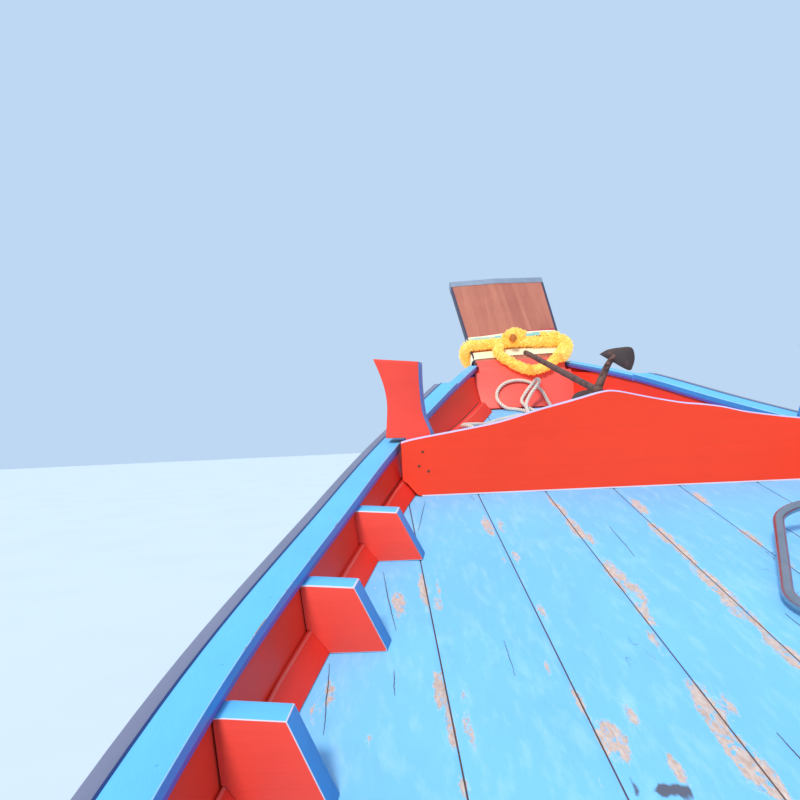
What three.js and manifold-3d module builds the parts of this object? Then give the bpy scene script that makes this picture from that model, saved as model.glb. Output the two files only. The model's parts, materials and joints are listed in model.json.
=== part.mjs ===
// A wooden longtail boat with its engine on a swivel over the stern. Millimetres, +Z up, +Y to the bow,
// +X to starboard. The origin is amidships on the centreline, at the height of the waterline.
import * as THREE from 'three';
import { mergeVertices } from 'three/addons/utils/BufferGeometryUtils.js';
import Module from 'manifold-3d';

const wasm = await Module();
wasm.setup();

// Driving dimensions
const GAP = 0.3;                    // left between two pieces that touch
const STERN = -5200;
const HULL_HALF_POINTS = 8;         // points from the keel to the sheer on one side of a section
const PLANK = 25;                   // thickness of the hull's planking
const KEEL_FLOOR = 55;              // wood over the keel line
const RAIL_OVERHANG = 8;            // the cap rail's inner edge stands inboard of the planking by this
const BEAM_Y = 3600;                // aft face of the breakwater beam
const BEAM_THICK = 46;
const DECK_AT_BEAM = 1169;
const DECK_SLOPE = 0.2475;
const DECK_AFT = 900;
const DECK_THICK = 28;
const DECK_BOW = 4745;              // where the deck meets the apron
const APRON_RAKE = 0.5;             // the apron leans forward this much for each unit of height
const APRON_THICK = 28;
const WIDE_RAIL_END = 4412;
const RAIL_END = 4866;
const PROW_LOW = { y: 4862, z: 1668, half: 214 };    // aft face of the prow board, at its foot
const PROW_TOP = { y: 5405, z: 2181, half: 250 };    // and at its top
const PROW_BOARD_THICK = 45;
const PROW_RIDGE = 8;               // the board's aft face stands out by this along its middle
const PROW_TUCK = 14;               // the planking stays inside the board's edges by this
const FLOOR_Z = -60;
const SEAT_Z = 330;
const AFT_DECK_Z = 430;

const COLOURS = {
  red: [0xe8402f, 0.45, 0],
  blue: [0x6cc3f2, 0.5, 0],
  grey: [0x7c7f96, 0.6, 0],
  hull: [0x2f6fb5, 0.45, 0],
  bare: [0xb07a5e, 0.6, 0],
  steel: [0xb9bec4, 0.25, 1],
  lead: [0x9aa3b0, 0.45, 0.8],
  rust: [0x6e4b3c, 0.8, 0.4],
  engine: [0x3f6f4a, 0.5, 0.3],
  dark: [0x2a2b2e, 0.5, 0.5],
  rope: [0xefe4cf, 0.9, 0],
  garland: [0xf2c25a, 0.9, 0],
  ribbon: [0xb23a4c, 0.8, 0],
  canvas: [0xe9e4d6, 0.9, 0],
  brass: [0xb08d3f, 0.35, 1],
  plastic: [0xd9482b, 0.5, 0],
};

// The hull's lines. inner is the half-breadth to the cap rail's inner edge, sheer the underside of the
// cap rail, fullness the exponent of the section's curve: 1 is a straight V, 2 an ellipse.
const LINES = [
  // y, inner, sheer, fullness
  [-5200, 860, 700, 2.4],
  [-4000, 985, 625, 2.5],
  [-2500, 1070, 582, 2.5],
  [-1000, 1105, 578, 2.5],
  [400, 1105, 635, 2.4],
  [1500, 1066, 800, 2.2],
  [2330, 964, 991, 2.0],
  [3140, 775, 1181, 1.7],
  [3600, 658, 1290, 1.55],
  [4000, 522, 1402, 1.42],
  [4412, 358, 1535, 1.3],
  [4866, 206, 1645, 1.2],
];
const COLUMN = { inner: 1, sheer: 2, fullness: 3 };

const group = new THREE.Group();

// Cubic interpolation in the table of lines, with slopes from the neighbouring rows.
function line(name, y) {
  const column = COLUMN[name];
  const last = LINES.length - 1;
  const y1 = Math.min(Math.max(y, LINES[0][0]), LINES[last][0]);
  let i = 0;
  while (i < last - 1 && LINES[i + 1][0] < y1) i += 1;
  const slope = (k) => {
    const a = LINES[Math.max(k - 1, 0)];
    const b = LINES[Math.min(k + 1, last)];
    return (b[column] - a[column]) / (b[0] - a[0]);
  };
  const [p, q] = [LINES[i], LINES[i + 1]];
  const step = q[0] - p[0];
  const t = (y1 - p[0]) / step;
  const blend = t * t * (3 - 2 * t);
  const rise = t * (1 - t) * (1 - t) * slope(i) - t * t * (1 - t) * slope(i + 1);
  return p[column] * (1 - blend) + q[column] * blend + step * rise;
}

const inner = (y) => line('inner', y);
const sheer = (y) => line('sheer', y);
const deckZ = (y) => DECK_AT_BEAM + DECK_SLOPE * (y - BEAM_Y);

// The keel is level aft and rises in one power curve to the stem head.
const KEEL = {
  level: -270, from: 600, to: 5520, rise: 2400, power: 3.48,
  sternRise: 120, sternFrom: -2000,
  half: 32, head: 5470, deep: 45, bite: 50,
};
function keelZ(y) {
  if (y > KEEL.from) {
    return KEEL.level + KEEL.rise * ((y - KEEL.from) / (KEEL.to - KEEL.from)) ** KEEL.power;
  }
  const aft = Math.max(0, (KEEL.sternFrom - y) / (KEEL.sternFrom - STERN));
  return KEEL.level + KEEL.sternRise * aft * aft;
}

// The underside of the prow board, which is the top of the hull ahead of the rails.
const PROW_DIR = new THREE.Vector2(PROW_TOP.y - PROW_LOW.y, PROW_TOP.z - PROW_LOW.z).normalize();
const PROW_BACK = {
  y: PROW_LOW.y + PROW_DIR.y * PROW_BOARD_THICK,
  z: PROW_LOW.z - PROW_DIR.x * PROW_BOARD_THICK,
};
const PROW_SLOPE = PROW_DIR.y / PROW_DIR.x;
const PROW_END = PROW_TOP.y + PROW_DIR.y * PROW_BOARD_THICK;
const STEM_TIP = 5522;
const STEM_HALF = 30;
const PROW_TUCKED_AT = 0.25;        // share of the board's height by which the planking is inside its edges

function topZ(y) {
  if (y < PROW_BACK.y) return sheer(y);
  const onBoard = Math.min(y, PROW_END);
  return PROW_BACK.z + PROW_SLOPE * (onBoard - PROW_BACK.y);
}

function skinHalf(y) {
  if (y <= PROW_BACK.y) return inner(y) + RAIL_OVERHANG + PLANK;
  const part = Math.min(1, (y - PROW_BACK.y) / (PROW_END - PROW_BACK.y));
  const start = inner(PROW_BACK.y) + RAIL_OVERHANG + PLANK;
  const board = PROW_LOW.half + (PROW_TOP.half - PROW_LOW.half) * part;
  const along = start + (board - PROW_TUCK - start) * Math.min(1, part / PROW_TUCKED_AT);
  if (y <= PROW_END) return along;
  return along + (STEM_HALF - along) * ((y - PROW_END) / (STEM_TIP - PROW_END));
}

// Points [x, z] of half a section, from the keel to the top edge.
function halfSection(half, bottom, top, fullness) {
  const points = [];
  for (let i = 0; i < HULL_HALF_POINTS; i += 1) {
    const angle = (i / (HULL_HALF_POINTS - 1)) * (Math.PI / 2);
    const x = half * Math.sin(angle) ** (2 / fullness);
    const z = top - (top - bottom) * Math.cos(angle) ** (2 / fullness);
    points.push([x, z]);
  }
  return points;
}

// A whole ring at y, port sheer to keel to starboard sheer, with a raised top edge if asked.
function ring(y, half, raise) {
  const port = half.slice(1).reverse().map(([x, z]) => [-x, y, z]);
  const starboard = half.slice(1).map(([x, z]) => [x, y, z]);
  const points = [...port, [0, y, half[0][1]], ...starboard];
  if (raise > 0) {
    const [x, z] = half[half.length - 1];
    points.push([x, y, z + raise], [-x, y, z + raise]);
  }
  return points;
}

const skinRing = (y, grow = 0) =>
  ring(y, halfSection(skinHalf(y) + grow, keelZ(y) - grow, topZ(y) + grow, line('fullness', y)), 0);

// The planking's inner face, moved inboard by inset.
function wallRing(y, inset, raise) {
  const half = inner(y) + RAIL_OVERHANG - inset;
  return ring(y, halfSection(half, keelZ(y) + KEEL_FLOOR + inset, sheer(y), line('fullness', y)), raise);
}

// A line of the hull as its flat facets have it, straight between two stations.
function faceted(curve, y) {
  const next = HULL_STATIONS.find((at) => at >= y);
  const last = HULL_STATIONS[HULL_STATIONS.indexOf(next) - 1];
  const part = (y - last) / (next - last);
  return curve(last) * (1 - part) + curve(next) * part;
}

// Closed solid through rings of equal length.
function loft(rings) {
  const count = rings[0].length;
  const index = [];
  for (let i = 0; i + 1 < rings.length; i += 1) {
    for (let j = 0; j < count; j += 1) {
      const a = i * count + j;
      const b = i * count + ((j + 1) % count);
      index.push(a, b, b + count, a, b + count, a + count);
    }
  }
  const cap = (points, base, flip) => {
    const flat = points.map(([x, , z]) => new THREE.Vector2(x, z));
    for (const [a, b, c] of THREE.ShapeUtils.triangulateShape(flat, [])) {
      index.push(base + a, base + (flip ? c : b), base + (flip ? b : c));
    }
  };
  const clockwise = THREE.ShapeUtils.isClockWise(rings[0].map(([x, , z]) => new THREE.Vector2(x, z)));
  cap(rings[0], 0, !clockwise);
  cap(rings[rings.length - 1], (rings.length - 1) * count, clockwise);
  const geometry = new THREE.BufferGeometry();
  geometry.setAttribute('position', new THREE.Float32BufferAttribute(rings.flat(2), 3));
  geometry.setIndex(index);
  if (volume(geometry) < 0) {
    const all = geometry.index.array;
    for (let i = 0; i < all.length; i += 3) [all[i + 1], all[i + 2]] = [all[i + 2], all[i + 1]];
  }
  return geometry;
}

function volume(geometry) {
  const p = geometry.attributes.position;
  const all = geometry.index.array;
  const [a, b, c] = [new THREE.Vector3(), new THREE.Vector3(), new THREE.Vector3()];
  let total = 0;
  for (let i = 0; i < all.length; i += 3) {
    a.fromBufferAttribute(p, all[i]);
    b.fromBufferAttribute(p, all[i + 1]);
    c.fromBufferAttribute(p, all[i + 2]);
    total += a.dot(b.cross(c)) / 6;
  }
  return total;
}

function solid(geometry) {
  let bare = geometry.clone();
  bare.deleteAttribute('normal');
  bare.deleteAttribute('uv');
  bare = mergeVertices(bare, 1e-3);
  return new wasm.Manifold(new wasm.Mesh({
    numProp: 3,
    vertProperties: new Float32Array(bare.attributes.position.array),
    triVerts: new Uint32Array(bare.index.array),
  }));
}

function shape(manifold) {
  const mesh = manifold.getMesh();
  const geometry = new THREE.BufferGeometry();
  geometry.setAttribute('position', new THREE.BufferAttribute(new Float32Array(mesh.vertProperties), 3));
  geometry.setIndex(Array.from(mesh.triVerts));
  return geometry;
}

const all = (list) => list.reduce((sum, piece) => sum.add(piece));

function add(name, body, colour, parent = group) {
  const geometry = body.isBufferGeometry ? body : shape(body);
  geometry.computeVertexNormals();
  const [color, roughness, metalness] = COLOURS[colour];
  const mesh = new THREE.Mesh(geometry, new THREE.MeshStandardMaterial({ color, roughness, metalness }));
  mesh.name = name;
  parent.add(mesh);
  return mesh;
}

function boxAt(x0, x1, y0, y1, z0, z1) {
  return new THREE.BoxGeometry(x1 - x0, y1 - y0, z1 - z0)
    .translate((x0 + x1) / 2, (y0 + y1) / 2, (z0 + z1) / 2);
}

const box = (...sides) => solid(boxAt(...sides));

// A rod between two points.
function rod(from, to, radius, sides = 16) {
  const a = new THREE.Vector3(...from);
  const b = new THREE.Vector3(...to);
  const along = b.clone().sub(a).normalize();
  const turn = new THREE.Quaternion().setFromUnitVectors(new THREE.Vector3(0, 1, 0), along);
  return new THREE.CylinderGeometry(radius, radius, a.distanceTo(b), sides)
    .applyQuaternion(turn)
    .translate(...a.add(b).multiplyScalar(0.5).toArray());
}

function circle(radius, sides) {
  return Array.from({ length: sides }, (_, i) => (i / sides) * Math.PI * 2)
    .map((angle) => [radius * Math.cos(angle), radius * Math.sin(angle)]);
}

// A bent tube along points, with rounded corners.
function tube(points, radius, steps, sides = 10, tension = 0.5) {
  const knots = points.map((p) => new THREE.Vector3(...p));
  const path = new THREE.CatmullRomCurve3(knots, false, 'centripetal', tension);
  const round = new THREE.Shape(circle(radius, sides).map(([x, y]) => new THREE.Vector2(x, y)));
  return new THREE.ExtrudeGeometry(round, { steps, bevelEnabled: false, extrudePath: path });
}

// An outline in the XZ plane made thick along +Y from y.
function plate(outline, y, thick) {
  const flat = new THREE.Shape(outline.map(([x, z]) => new THREE.Vector2(x, z)));
  return new THREE.ExtrudeGeometry(flat, { depth: thick, bevelEnabled: false, curveSegments: 8 })
    .rotateX(Math.PI / 2)
    .translate(0, y + thick, 0);
}

// An outline in the YZ plane made wide along X, centred.
function profile(outline, halfWidth) {
  const flat = new THREE.Shape(outline.map(([y, z]) => new THREE.Vector2(y, z)));
  return new THREE.ExtrudeGeometry(flat, { depth: 2 * halfWidth, bevelEnabled: false })
    .rotateX(Math.PI / 2)
    .rotateZ(Math.PI / 2)
    .translate(-halfWidth, 0, 0);
}

function steps(from, to, count) {
  return Array.from({ length: count + 1 }, (_, i) => from + ((to - from) * i) / count);
}

const HULL_STATIONS = [...steps(STERN, 1500, 10), ...steps(1500, 4412, 8).slice(1), 4640, PROW_BACK.y];
const WALL_STATIONS = [...HULL_STATIONS.slice(0, -1), 4740];
const PAST_STERN = 60;              // the hollow runs out through the stern by this

// The hollow of the hull, moved inboard by inset. Its forward end leans like the apron.
function hollow(inset, raise = 400) {
  const rings = WALL_STATIONS.map((y) => wallRing(y, inset, raise));
  rings[0] = rings[0].map(([x, y, z]) => [x, y - PAST_STERN, z]);
  const end = rings[rings.length - 1];
  const half = (y) => inner(y) + RAIL_OVERHANG - inset;
  rings[rings.length - 1] = end.map(([x, y, z]) => {
    const leaning = DECK_BOW + APRON_THICK - inset + Math.max(0, (z - deckZ(DECK_BOW)) * APRON_RAKE);
    return [(x * half(leaning)) / half(y), leaning, z];
  });
  return solid(loft(rings));
}

const SKIN_STATIONS = [...HULL_STATIONS, ...steps(PROW_BACK.y, PROW_END, 4).slice(1), STEM_TIP];
const SKIN = solid(loft(SKIN_STATIONS.map((y) => skinRing(y))));
const HOLLOW = hollow(0);
const INSIDE = hollow(GAP);

let PROW = SKIN;                    // the hull with its keel and prow board, to wrap things round

function buildHull() {
  add('hull_shell', SKIN.subtract(HOLLOW), 'hull');
  const keelRings = [...HULL_STATIONS.slice(1), ...steps(PROW_BACK.y, KEEL.head, 5).slice(1)].map((y) => {
    const deep = KEEL.deep * Math.min(1, 0.15 + (KEEL.head - y) / 400);
    const [bottom, top] = [keelZ(y) - deep, keelZ(y) + KEEL.bite];
    return [[-KEEL.half, y, top], [-KEEL.half, y, bottom], [KEEL.half, y, bottom], [KEEL.half, y, top]];
  });
  const upright = solid(loft(keelRings)).subtract(SKIN).subtract(SKIN.translate(0, 0, -1));
  const parts = upright.decompose();
  parts.sort((a, b) => b.volume() - a.volume());
  add('keel', parts[0], 'hull');
  PROW = SKIN.add(parts[0]);
  const transom = solid(loft([wallRing(STERN + 5, 1.5, 0), wallRing(STERN + 45, 1.5, 0)]));
  add('transom', transom, 'red');
}

// A slab between two heights above the deck line, between two stations.
function deckSlab(y0, y1, low, high, halfWidth = 1400) {
  const outline = [
    [y0, deckZ(y0) + low], [y1, deckZ(y1) + low], [y1, deckZ(y1) + high], [y0, deckZ(y0) + high],
  ];
  return solid(profile(outline, halfWidth));
}

const WATERWAY = { high: 45, wide: 45 };
const SIDES = [['port', -1], ['starboard', 1]];

// Half-breadth of the planking's inner face at a height.
function wallAt(y, z) {
  const half = inner(y) + RAIL_OVERHANG;
  const top = sheer(y);
  const part = (top - z) / (top - keelZ(y) - KEEL_FLOOR);
  return half * (1 - Math.min(1, Math.max(0, part)) ** line('fullness', y)) ** (1 / line('fullness', y));
}

function waterway(side, grow) {
  const stations = steps(DECK_AFT + 4, DECK_BOW - 40, 16);
  const rings = stations.map((y) => {
    const deck = deckZ(y);
    const wall = wallAt(y, deck);
    return [
      [side * (wall + 60), y, deck + GAP - grow],
      [side * (wall - WATERWAY.wide - grow), y, deck + GAP - grow],
      [side * (wall - 10 - grow), y, deck + WATERWAY.high + grow],
      [side * (wall + 60), y, deck + WATERWAY.high + grow],
    ];
  });
  return solid(loft(rings));
}

// The knees lie along the rail. Their tops fall by drop to their inboard end.
const KNEE = { first: 3138, spacing: 405, count: 5, thick: 42, top: 96, foot: 165, drop: 8 };

function buildForedeck() {
  add('foredeck', deckSlab(DECK_AFT, DECK_BOW - 2, -DECK_THICK, 0).intersect(INSIDE), 'blue');
  const bulkhead = box(-1400, 1400, DECK_AFT + 30, DECK_AFT + 52, -400, 1400)
    .intersect(deckSlab(DECK_AFT, 1000, -900, -DECK_THICK - GAP))
    .intersect(INSIDE);
  add('foredeck_bulkhead', bulkhead, 'red');
  for (const [name, side] of SIDES) {
    add(`waterway_${name}`, waterway(side, 0).intersect(INSIDE), 'red');
    const clear = waterway(side, GAP);
    for (let i = 0; i < KNEE.count; i += 1) {
      const y = KNEE.first - i * KNEE.spacing;
      const rail = inner(y);
      const toe = rail - KNEE.foot + 12;
      const outline = [
        [side * (rail + 60), sheer(y)],
        [side * (rail + 60), deckZ(y) - 40],
        [side * toe, deckZ(y) - 40],
        [side * toe, deckZ(y) + 4],
        [side * (rail - KNEE.top), sheer(y) - KNEE.drop],
        [side * rail, sheer(y)],
      ];
      const taper = (inner(y + KNEE.thick) - rail) / KNEE.thick;
      const climb = (sheer(y + KNEE.thick) - sheer(y)) / KNEE.thick;
      const upright = plate(outline, 0, KNEE.thick)
        .applyMatrix4(new THREE.Matrix4().makeShear(0, 0, side * taper, climb, 0, 0))
        .translate(0, y, 0);
      const body = solid(upright)
        .intersect(deckSlab(y - 20, y + 120, GAP, 400))
        .intersect(underRail(y - 2, y + KNEE.thick + 2))
        .intersect(INSIDE)
        .subtract(clear);
      add(`knee_${name}_${i + 1}`, body, 'red');
    }
  }
}

// Everything below the cap rail's underside between two stations.
function underRail(y0, y1) {
  const rise = (y) => sheer(y) - 3 * GAP;
  return solid(profile([[y0, -400], [y1, -400], [y1, rise(y1)], [y0, rise(y0)]], 1400));
}

const RAIL = { wide: 68, thick: 30, narrow: 41, narrowThick: 24, strip: 30, drop: 60, lip: 27 };

function railRings(stations, side, outline) {
  return stations.map((y) => outline(inner(y), sheer(y)).map(([x, z]) => [side * x, y, z]));
}

function buildRails() {
  const wide = [...HULL_STATIONS.filter((y) => y < WIDE_RAIL_END), WIDE_RAIL_END];
  const narrow = [WIDE_RAIL_END, 4560, 4710, RAIL_END];
  for (const [name, side] of SIDES) {
    const broad = (a, z) => [
      [a, z + GAP], [a + RAIL.wide, z + GAP], [a + RAIL.wide, z + RAIL.thick], [a, z + RAIL.thick],
    ];
    const slim = (a, z) => [
      [a - 1, z + GAP],
      [a + RAIL.narrow, z + GAP],
      [a + RAIL.narrow, z + RAIL.narrowThick],
      [a - 1, z + RAIL.narrowThick],
    ];
    const rail = solid(loft(railRings(wide, side, broad))).add(solid(loft(railRings(narrow, side, slim))));
    add(`cap_rail_${name}`, rail, 'blue');
    const strip = (a, z) => [
      [a + RAIL_OVERHANG + PLANK + GAP, z - RAIL.drop],
      [a + RAIL.wide + RAIL.strip, z - RAIL.drop],
      [a + RAIL.wide + RAIL.strip, z + RAIL.lip],
      [a + RAIL.wide + GAP, z + RAIL.lip],
      [a + RAIL.wide + GAP, z],
      [a + RAIL_OVERHANG + PLANK + GAP, z],
    ];
    add(`rub_strip_${name}`, loft(railRings(wide, side, strip)), 'grey');
  }
}

// The breakwater's top edge: half-breadth and height, from the side to the crown.
const CROWN = {
  port: [
    [670, 1326], [611, 1345], [458, 1368], [336, 1388], [213, 1420], [121, 1441], [32, 1463], [0, 1467],
  ],
  starboard: [
    [670, 1331], [611, 1350], [500, 1367], [400, 1385], [336, 1402], [280, 1412], [213, 1421], [121, 1441],
    [32, 1463],
  ],
};

// The port horn's outline over the beam, from its inboard foot round its top to its outboard shoulder.
const HORN = [
  [-545, 1364], [-562, 1409], [-569, 1450], [-572, 1520], [-571, 1586], [-712, 1601], [-693, 1550],
  [-680, 1502], [-675, 1455], [-678, 1408], [-683, 1358],
];
const HORN_OUT = { port: 0, starboard: 74 };     // the starboard horn stands further out
const HORN_THICK = 50;
const BEAM_FOOT = 1100;             // lower than the deck, which the beam and horns are cut to

function buildBeam() {
  const half = inner(BEAM_Y + BEAM_THICK) - 5;
  const crest = (table) => {
    const [[x0, z0], [x1, z1]] = table;
    return [[half, z0 + ((z1 - z0) * (x0 - half)) / (x0 - x1)], ...table.slice(1)];
  };
  const port = crest(CROWN.port).map(([x, z]) => [-x, z]);
  const starboard = crest(CROWN.starboard).reverse();
  const outline = [...port, ...starboard, [half, BEAM_FOOT], [-half, BEAM_FOOT]];
  const beam = solid(plate(outline, BEAM_Y, BEAM_THICK))
    .intersect(deckSlab(BEAM_Y - 10, BEAM_Y + 80, GAP, 600))
    .intersect(hollow(GAP, 700))
    .subtract(waterway(-1, GAP))
    .subtract(waterway(1, GAP));
  add('breakwater_beam', beam, 'red');
  const hornY = BEAM_Y + BEAM_THICK + GAP;
  const railTop = sheer(hornY + 60) + RAIL.thick + 2;
  const footOuter = -(inner(hornY + 60) - 4);
  const sweep = (inner(hornY + 60) - inner(hornY)) / 60;
  for (const [name, side] of SIDES) {
    const moved = HORN.map(([x, z]) => [x - HORN_OUT[name], z]);
    const [footInner, shoulder] = [moved[0][0], moved[moved.length - 1][0]];
    const points = [
      ...moved, [shoulder, railTop], [footOuter, railTop], [footOuter, BEAM_FOOT], [footInner, BEAM_FOOT],
    ].map(([x, z]) => [-side * x, z]);
    const upright = plate(points, 0, HORN_THICK);
    upright.applyMatrix4(new THREE.Matrix4().makeShear(0, 0, side * sweep, 0, 0, 0));
    const foot = solid(upright.translate(0, hornY, 0))
      .intersect(deckSlab(hornY - 10, hornY + 80, GAP, 900))
      .subtract(waterway(side, GAP));
    add(`horn_${name}`, foot, 'red');
  }
}

// The apron fills the width of the hull up to sides, and goes up to top between the rails.
const APRON = { sides: 1630, top: 1660, neck: 200 };
const CAP_OVER = 2;                 // the metal cap stands proud of the board by this

function buildProw() {
  const lean = (z) => (z - deckZ(DECK_BOW)) * APRON_RAKE;
  const base = deckZ(DECK_BOW) + 6;
  const face = (z, back) => [DECK_BOW + back + lean(z), z];
  const panel = (low, high, halfWidth) => solid(profile([
    face(low, 1), face(low, APRON_THICK - 1), face(high, APRON_THICK - 1), face(high, 1),
  ], halfWidth));
  const apron = panel(base, APRON.sides, 400)
    .intersect(hollow(2, 60))
    .add(panel(APRON.sides - 40, APRON.top, APRON.neck));
  add('bow_apron', apron, 'red');
  // The board and its metal cap are drawn in the board's own plane: u across, v up the board, w its depth.
  const length = Math.hypot(PROW_TOP.y - PROW_LOW.y, PROW_TOP.z - PROW_LOW.z);
  const capHigh = 52;
  const slice = (v, half, out) => {
    const backAt = PROW_BOARD_THICK - GAP - 1;
    const at = (u, w) => [
      u,
      PROW_LOW.y + PROW_DIR.x * v + PROW_DIR.y * w,
      PROW_LOW.z + PROW_DIR.y * v - PROW_DIR.x * w,
    ];
    return [
      at(-half - out, -out), at(0, -PROW_RIDGE - out), at(half + out, -out),
      at(half + out, backAt), at(-half - out, backAt),
    ];
  };
  const halfAt = (v) => PROW_LOW.half + ((PROW_TOP.half - PROW_LOW.half) * v) / length;
  const levels = [18, (length - capHigh) / 2, length - capHigh];
  const board = loft(levels.map((v) => slice(v, halfAt(v), 0)));
  add('prow_board', board, 'bare');
  PROW = PROW.add(solid(board));
  const capLevels = [length - capHigh + GAP, length];
  add('prow_cap', loft(capLevels.map((v) => slice(v, halfAt(v), CAP_OVER))), 'lead');
}

const RIB = { from: -3980, spacing: 405, count: 12, thick: 58, deep: 46 };
const SEAT = { wide: 250, thick: 34 };
const RISER = { low: 255, high: SEAT_Z - GAP, deep: 26 };

function buildWell() {
  const ribBand = INSIDE.subtract(hollow(RIB.deep));
  const riserBand = INSIDE.subtract(hollow(RISER.deep));
  const last = RIB.from + (RIB.count - 1) * RIB.spacing;
  const slices = all(Array.from({ length: RIB.count }, (_, i) => {
    const y = RIB.from + i * RIB.spacing;
    return box(-1400, 1400, y, y + RIB.thick, FLOOR_Z + 4, 1200);
  }));
  const riser = riserBand.intersect(box(-1400, 1400, RIB.from - 120, last + 180, RISER.low, RISER.high));
  const ribs = ribBand.intersect(slices).intersect(belowSheer()).add(riser);
  for (const [name, side] of SIDES) {
    const half = box(100, 1400, -6000, 6000, -400, 1400).translate(side < 0 ? -1500 : 0, 0, 0);
    add(`ribs_${name}`, ribs.intersect(half), 'red');
  }
  const floor = box(-1400, 1400, -4130, DECK_AFT + 26, FLOOR_Z - 26, FLOOR_Z).intersect(hollow(6));
  add('floorboards', floor, 'blue');
  const seatGap = RIB.spacing - RIB.thick;
  const seats = [0, 3, 6, 9];
  seats.forEach((bay, i) => {
    const y = RIB.from + bay * RIB.spacing + RIB.thick + (seatGap - SEAT.wide) / 2;
    const seat = box(-1400, 1400, y, y + SEAT.wide, SEAT_Z, SEAT_Z + SEAT.thick).intersect(hollow(4));
    add(`thwart_${i + 1}`, seat, 'blue');
  });
  const stern = STERN + 45 + 8;
  const deck = box(-1400, 1400, stern, RIB.from - 125, AFT_DECK_Z, AFT_DECK_Z + 28).intersect(hollow(3));
  const legs = [[-560, stern + 60], [560, stern + 60], [-560, RIB.from - 190], [560, RIB.from - 190]]
    .map(([x, y]) => box(x - 30, x + 30, y - 25, y + 25, FLOOR_Z - 60, AFT_DECK_Z + 10).intersect(hollow(3)));
  add('aft_deck', all([deck, ...legs]), 'blue');
}

function belowSheer() {
  const rings = HULL_STATIONS.map((y) => {
    const top = sheer(y) - GAP;
    return [[-1500, y, -900], [1500, y, -900], [1500, y, top], [-1500, y, top]];
  });
  return solid(loft(rings));
}

const CANOPY = { from: -3450, to: -250, eave: 2060, rise: 250, half: 1060, thick: 14, hoops: 4 };

// Height of the canopy's underside across the boat.
const canopyZ = (x) => CANOPY.eave + CANOPY.rise * (1 - (x / CANOPY.half) ** 2);

function buildCanopy() {
  const across = steps(-CANOPY.half, CANOPY.half, 16);
  const ring = (y) => [
    ...across.map((x) => [x, y, canopyZ(x) + 4]),
    ...[...across].reverse().map((x) => [x, y, canopyZ(x) + 4 + CANOPY.thick]),
  ];
  add('canopy', loft([ring(CANOPY.from - 90), ring(CANOPY.to + 90)]), 'canvas');
  const tubeR = 15;
  for (let i = 0; i < CANOPY.hoops; i += 1) {
    const y = CANOPY.from + ((CANOPY.to - CANOPY.from) * i) / (CANOPY.hoops - 1);
    const foot = faceted(inner, y) + 36;
    const footZ = Math.max(...[-42, 0, 42].map((d) => faceted(sheer, y + d))) + RAIL.thick + GAP;
    const arch = steps(-CANOPY.half + 20, CANOPY.half - 20, 8).map((x) => [x, y, canopyZ(x) - tubeR]);
    const shoulder = CANOPY.half - 24;
    const shoulderZ = canopyZ(shoulder) - tubeR - 4;
    const posts = [-1, 1].map((side) => solid(
      rod([side * foot, y, footZ + 4], [side * shoulder, y, shoulderZ], tubeR, 10),
    ));
    const bow = solid(tube(arch, tubeR, 12, 10));
    const feet = [-1, 1].map((side) => (
      box(side * foot - 30, side * foot + 30, y - 42, y + 42, footZ, footZ + 8)
    ));
    add(`canopy_hoop_${i + 1}`, all([...posts, bow, ...feet]), 'steel');
  }
}

// The boarding ladder lies across the foredeck, with one corner of its hoop on the deck and its outer
// end on the starboard cap rail. near and far are the two corners of the hoop's end.
const LADDER = {
  radius: 12.5, length: 1100, corner: 100, rungs: [330, 630, 930],
  near: [50, 2782, 980.5], far: [272, 3225, 1143], along: [0.875, -0.481, 0.052],
};

function buildLadder() {
  const near = new THREE.Vector3(...LADDER.near);
  const far = new THREE.Vector3(...LADDER.far);
  const along = new THREE.Vector3(...LADDER.along).normalize();
  const across = far.clone().sub(near);
  const half = across.length() / 2;
  across.normalize();
  const middle = near.clone().add(far).multiplyScalar(0.5);
  const at = (x, y) => middle.clone().addScaledVector(along, x).addScaledVector(across, y).toArray();
  const c = LADDER.corner;
  const cut = c * 0.3;
  const side = [
    [LADDER.length, half], [LADDER.length * 0.5, half], [c * 2, half],
    [c, half], [cut, half - cut], [0, half - c],
  ];
  const outline = [...side, [0, 0], ...side.slice().reverse().map(([x, y]) => [x, -y])];
  const rails = solid(tube(outline.map(([x, y]) => at(x, y)), LADDER.radius, 34, 8));
  const rungs = LADDER.rungs.map((x) => solid(rod(at(x, -half), at(x, half), LADDER.radius - 1.5, 8)));
  add('boarding_ladder', all([rails, ...rungs]), 'steel');
}

// The anchor leans over the beam, its crown behind the crest and the tip of its shank by the apron.
const ANCHOR = {
  crown: [-4, 3712, 1472], tip: [4, 4765, 1709], shank: 11.5, arm: 12, palmThick: 9,
  upArm: [58, 3725, 1574], downArm: [-34, 3718, 1450], ropeEye: [12, 3716, 1456],
};
const PALM_UP = [
  [15, 1588], [41, 1601], [79, 1606], [117, 1604], [125, 1573], [117, 1544], [103, 1532], [51, 1564],
];
const PALM_DOWN = [[-92, 1422], [-74, 1464], [-24, 1475], [6, 1452], [-22, 1430], [-58, 1407]];

function buildAnchor() {
  const { crown, tip, arm, palmThick } = ANCHOR;
  const palm = (points, y) => solid(plate(points, y, palmThick));
  const parts = [
    solid(rod(tip, crown, ANCHOR.shank, 12)),
    solid(rod(crown, ANCHOR.upArm, arm, 12)),
    solid(rod(crown, ANCHOR.downArm, arm, 12)),
    palm(PALM_UP, 3720),
    palm(PALM_DOWN, 3714),
    solid(new THREE.TorusGeometry(14, 5, 6, 14).translate(...ANCHOR.ropeEye)),
  ];
  add('anchor', all(parts), 'rust');
}

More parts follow.
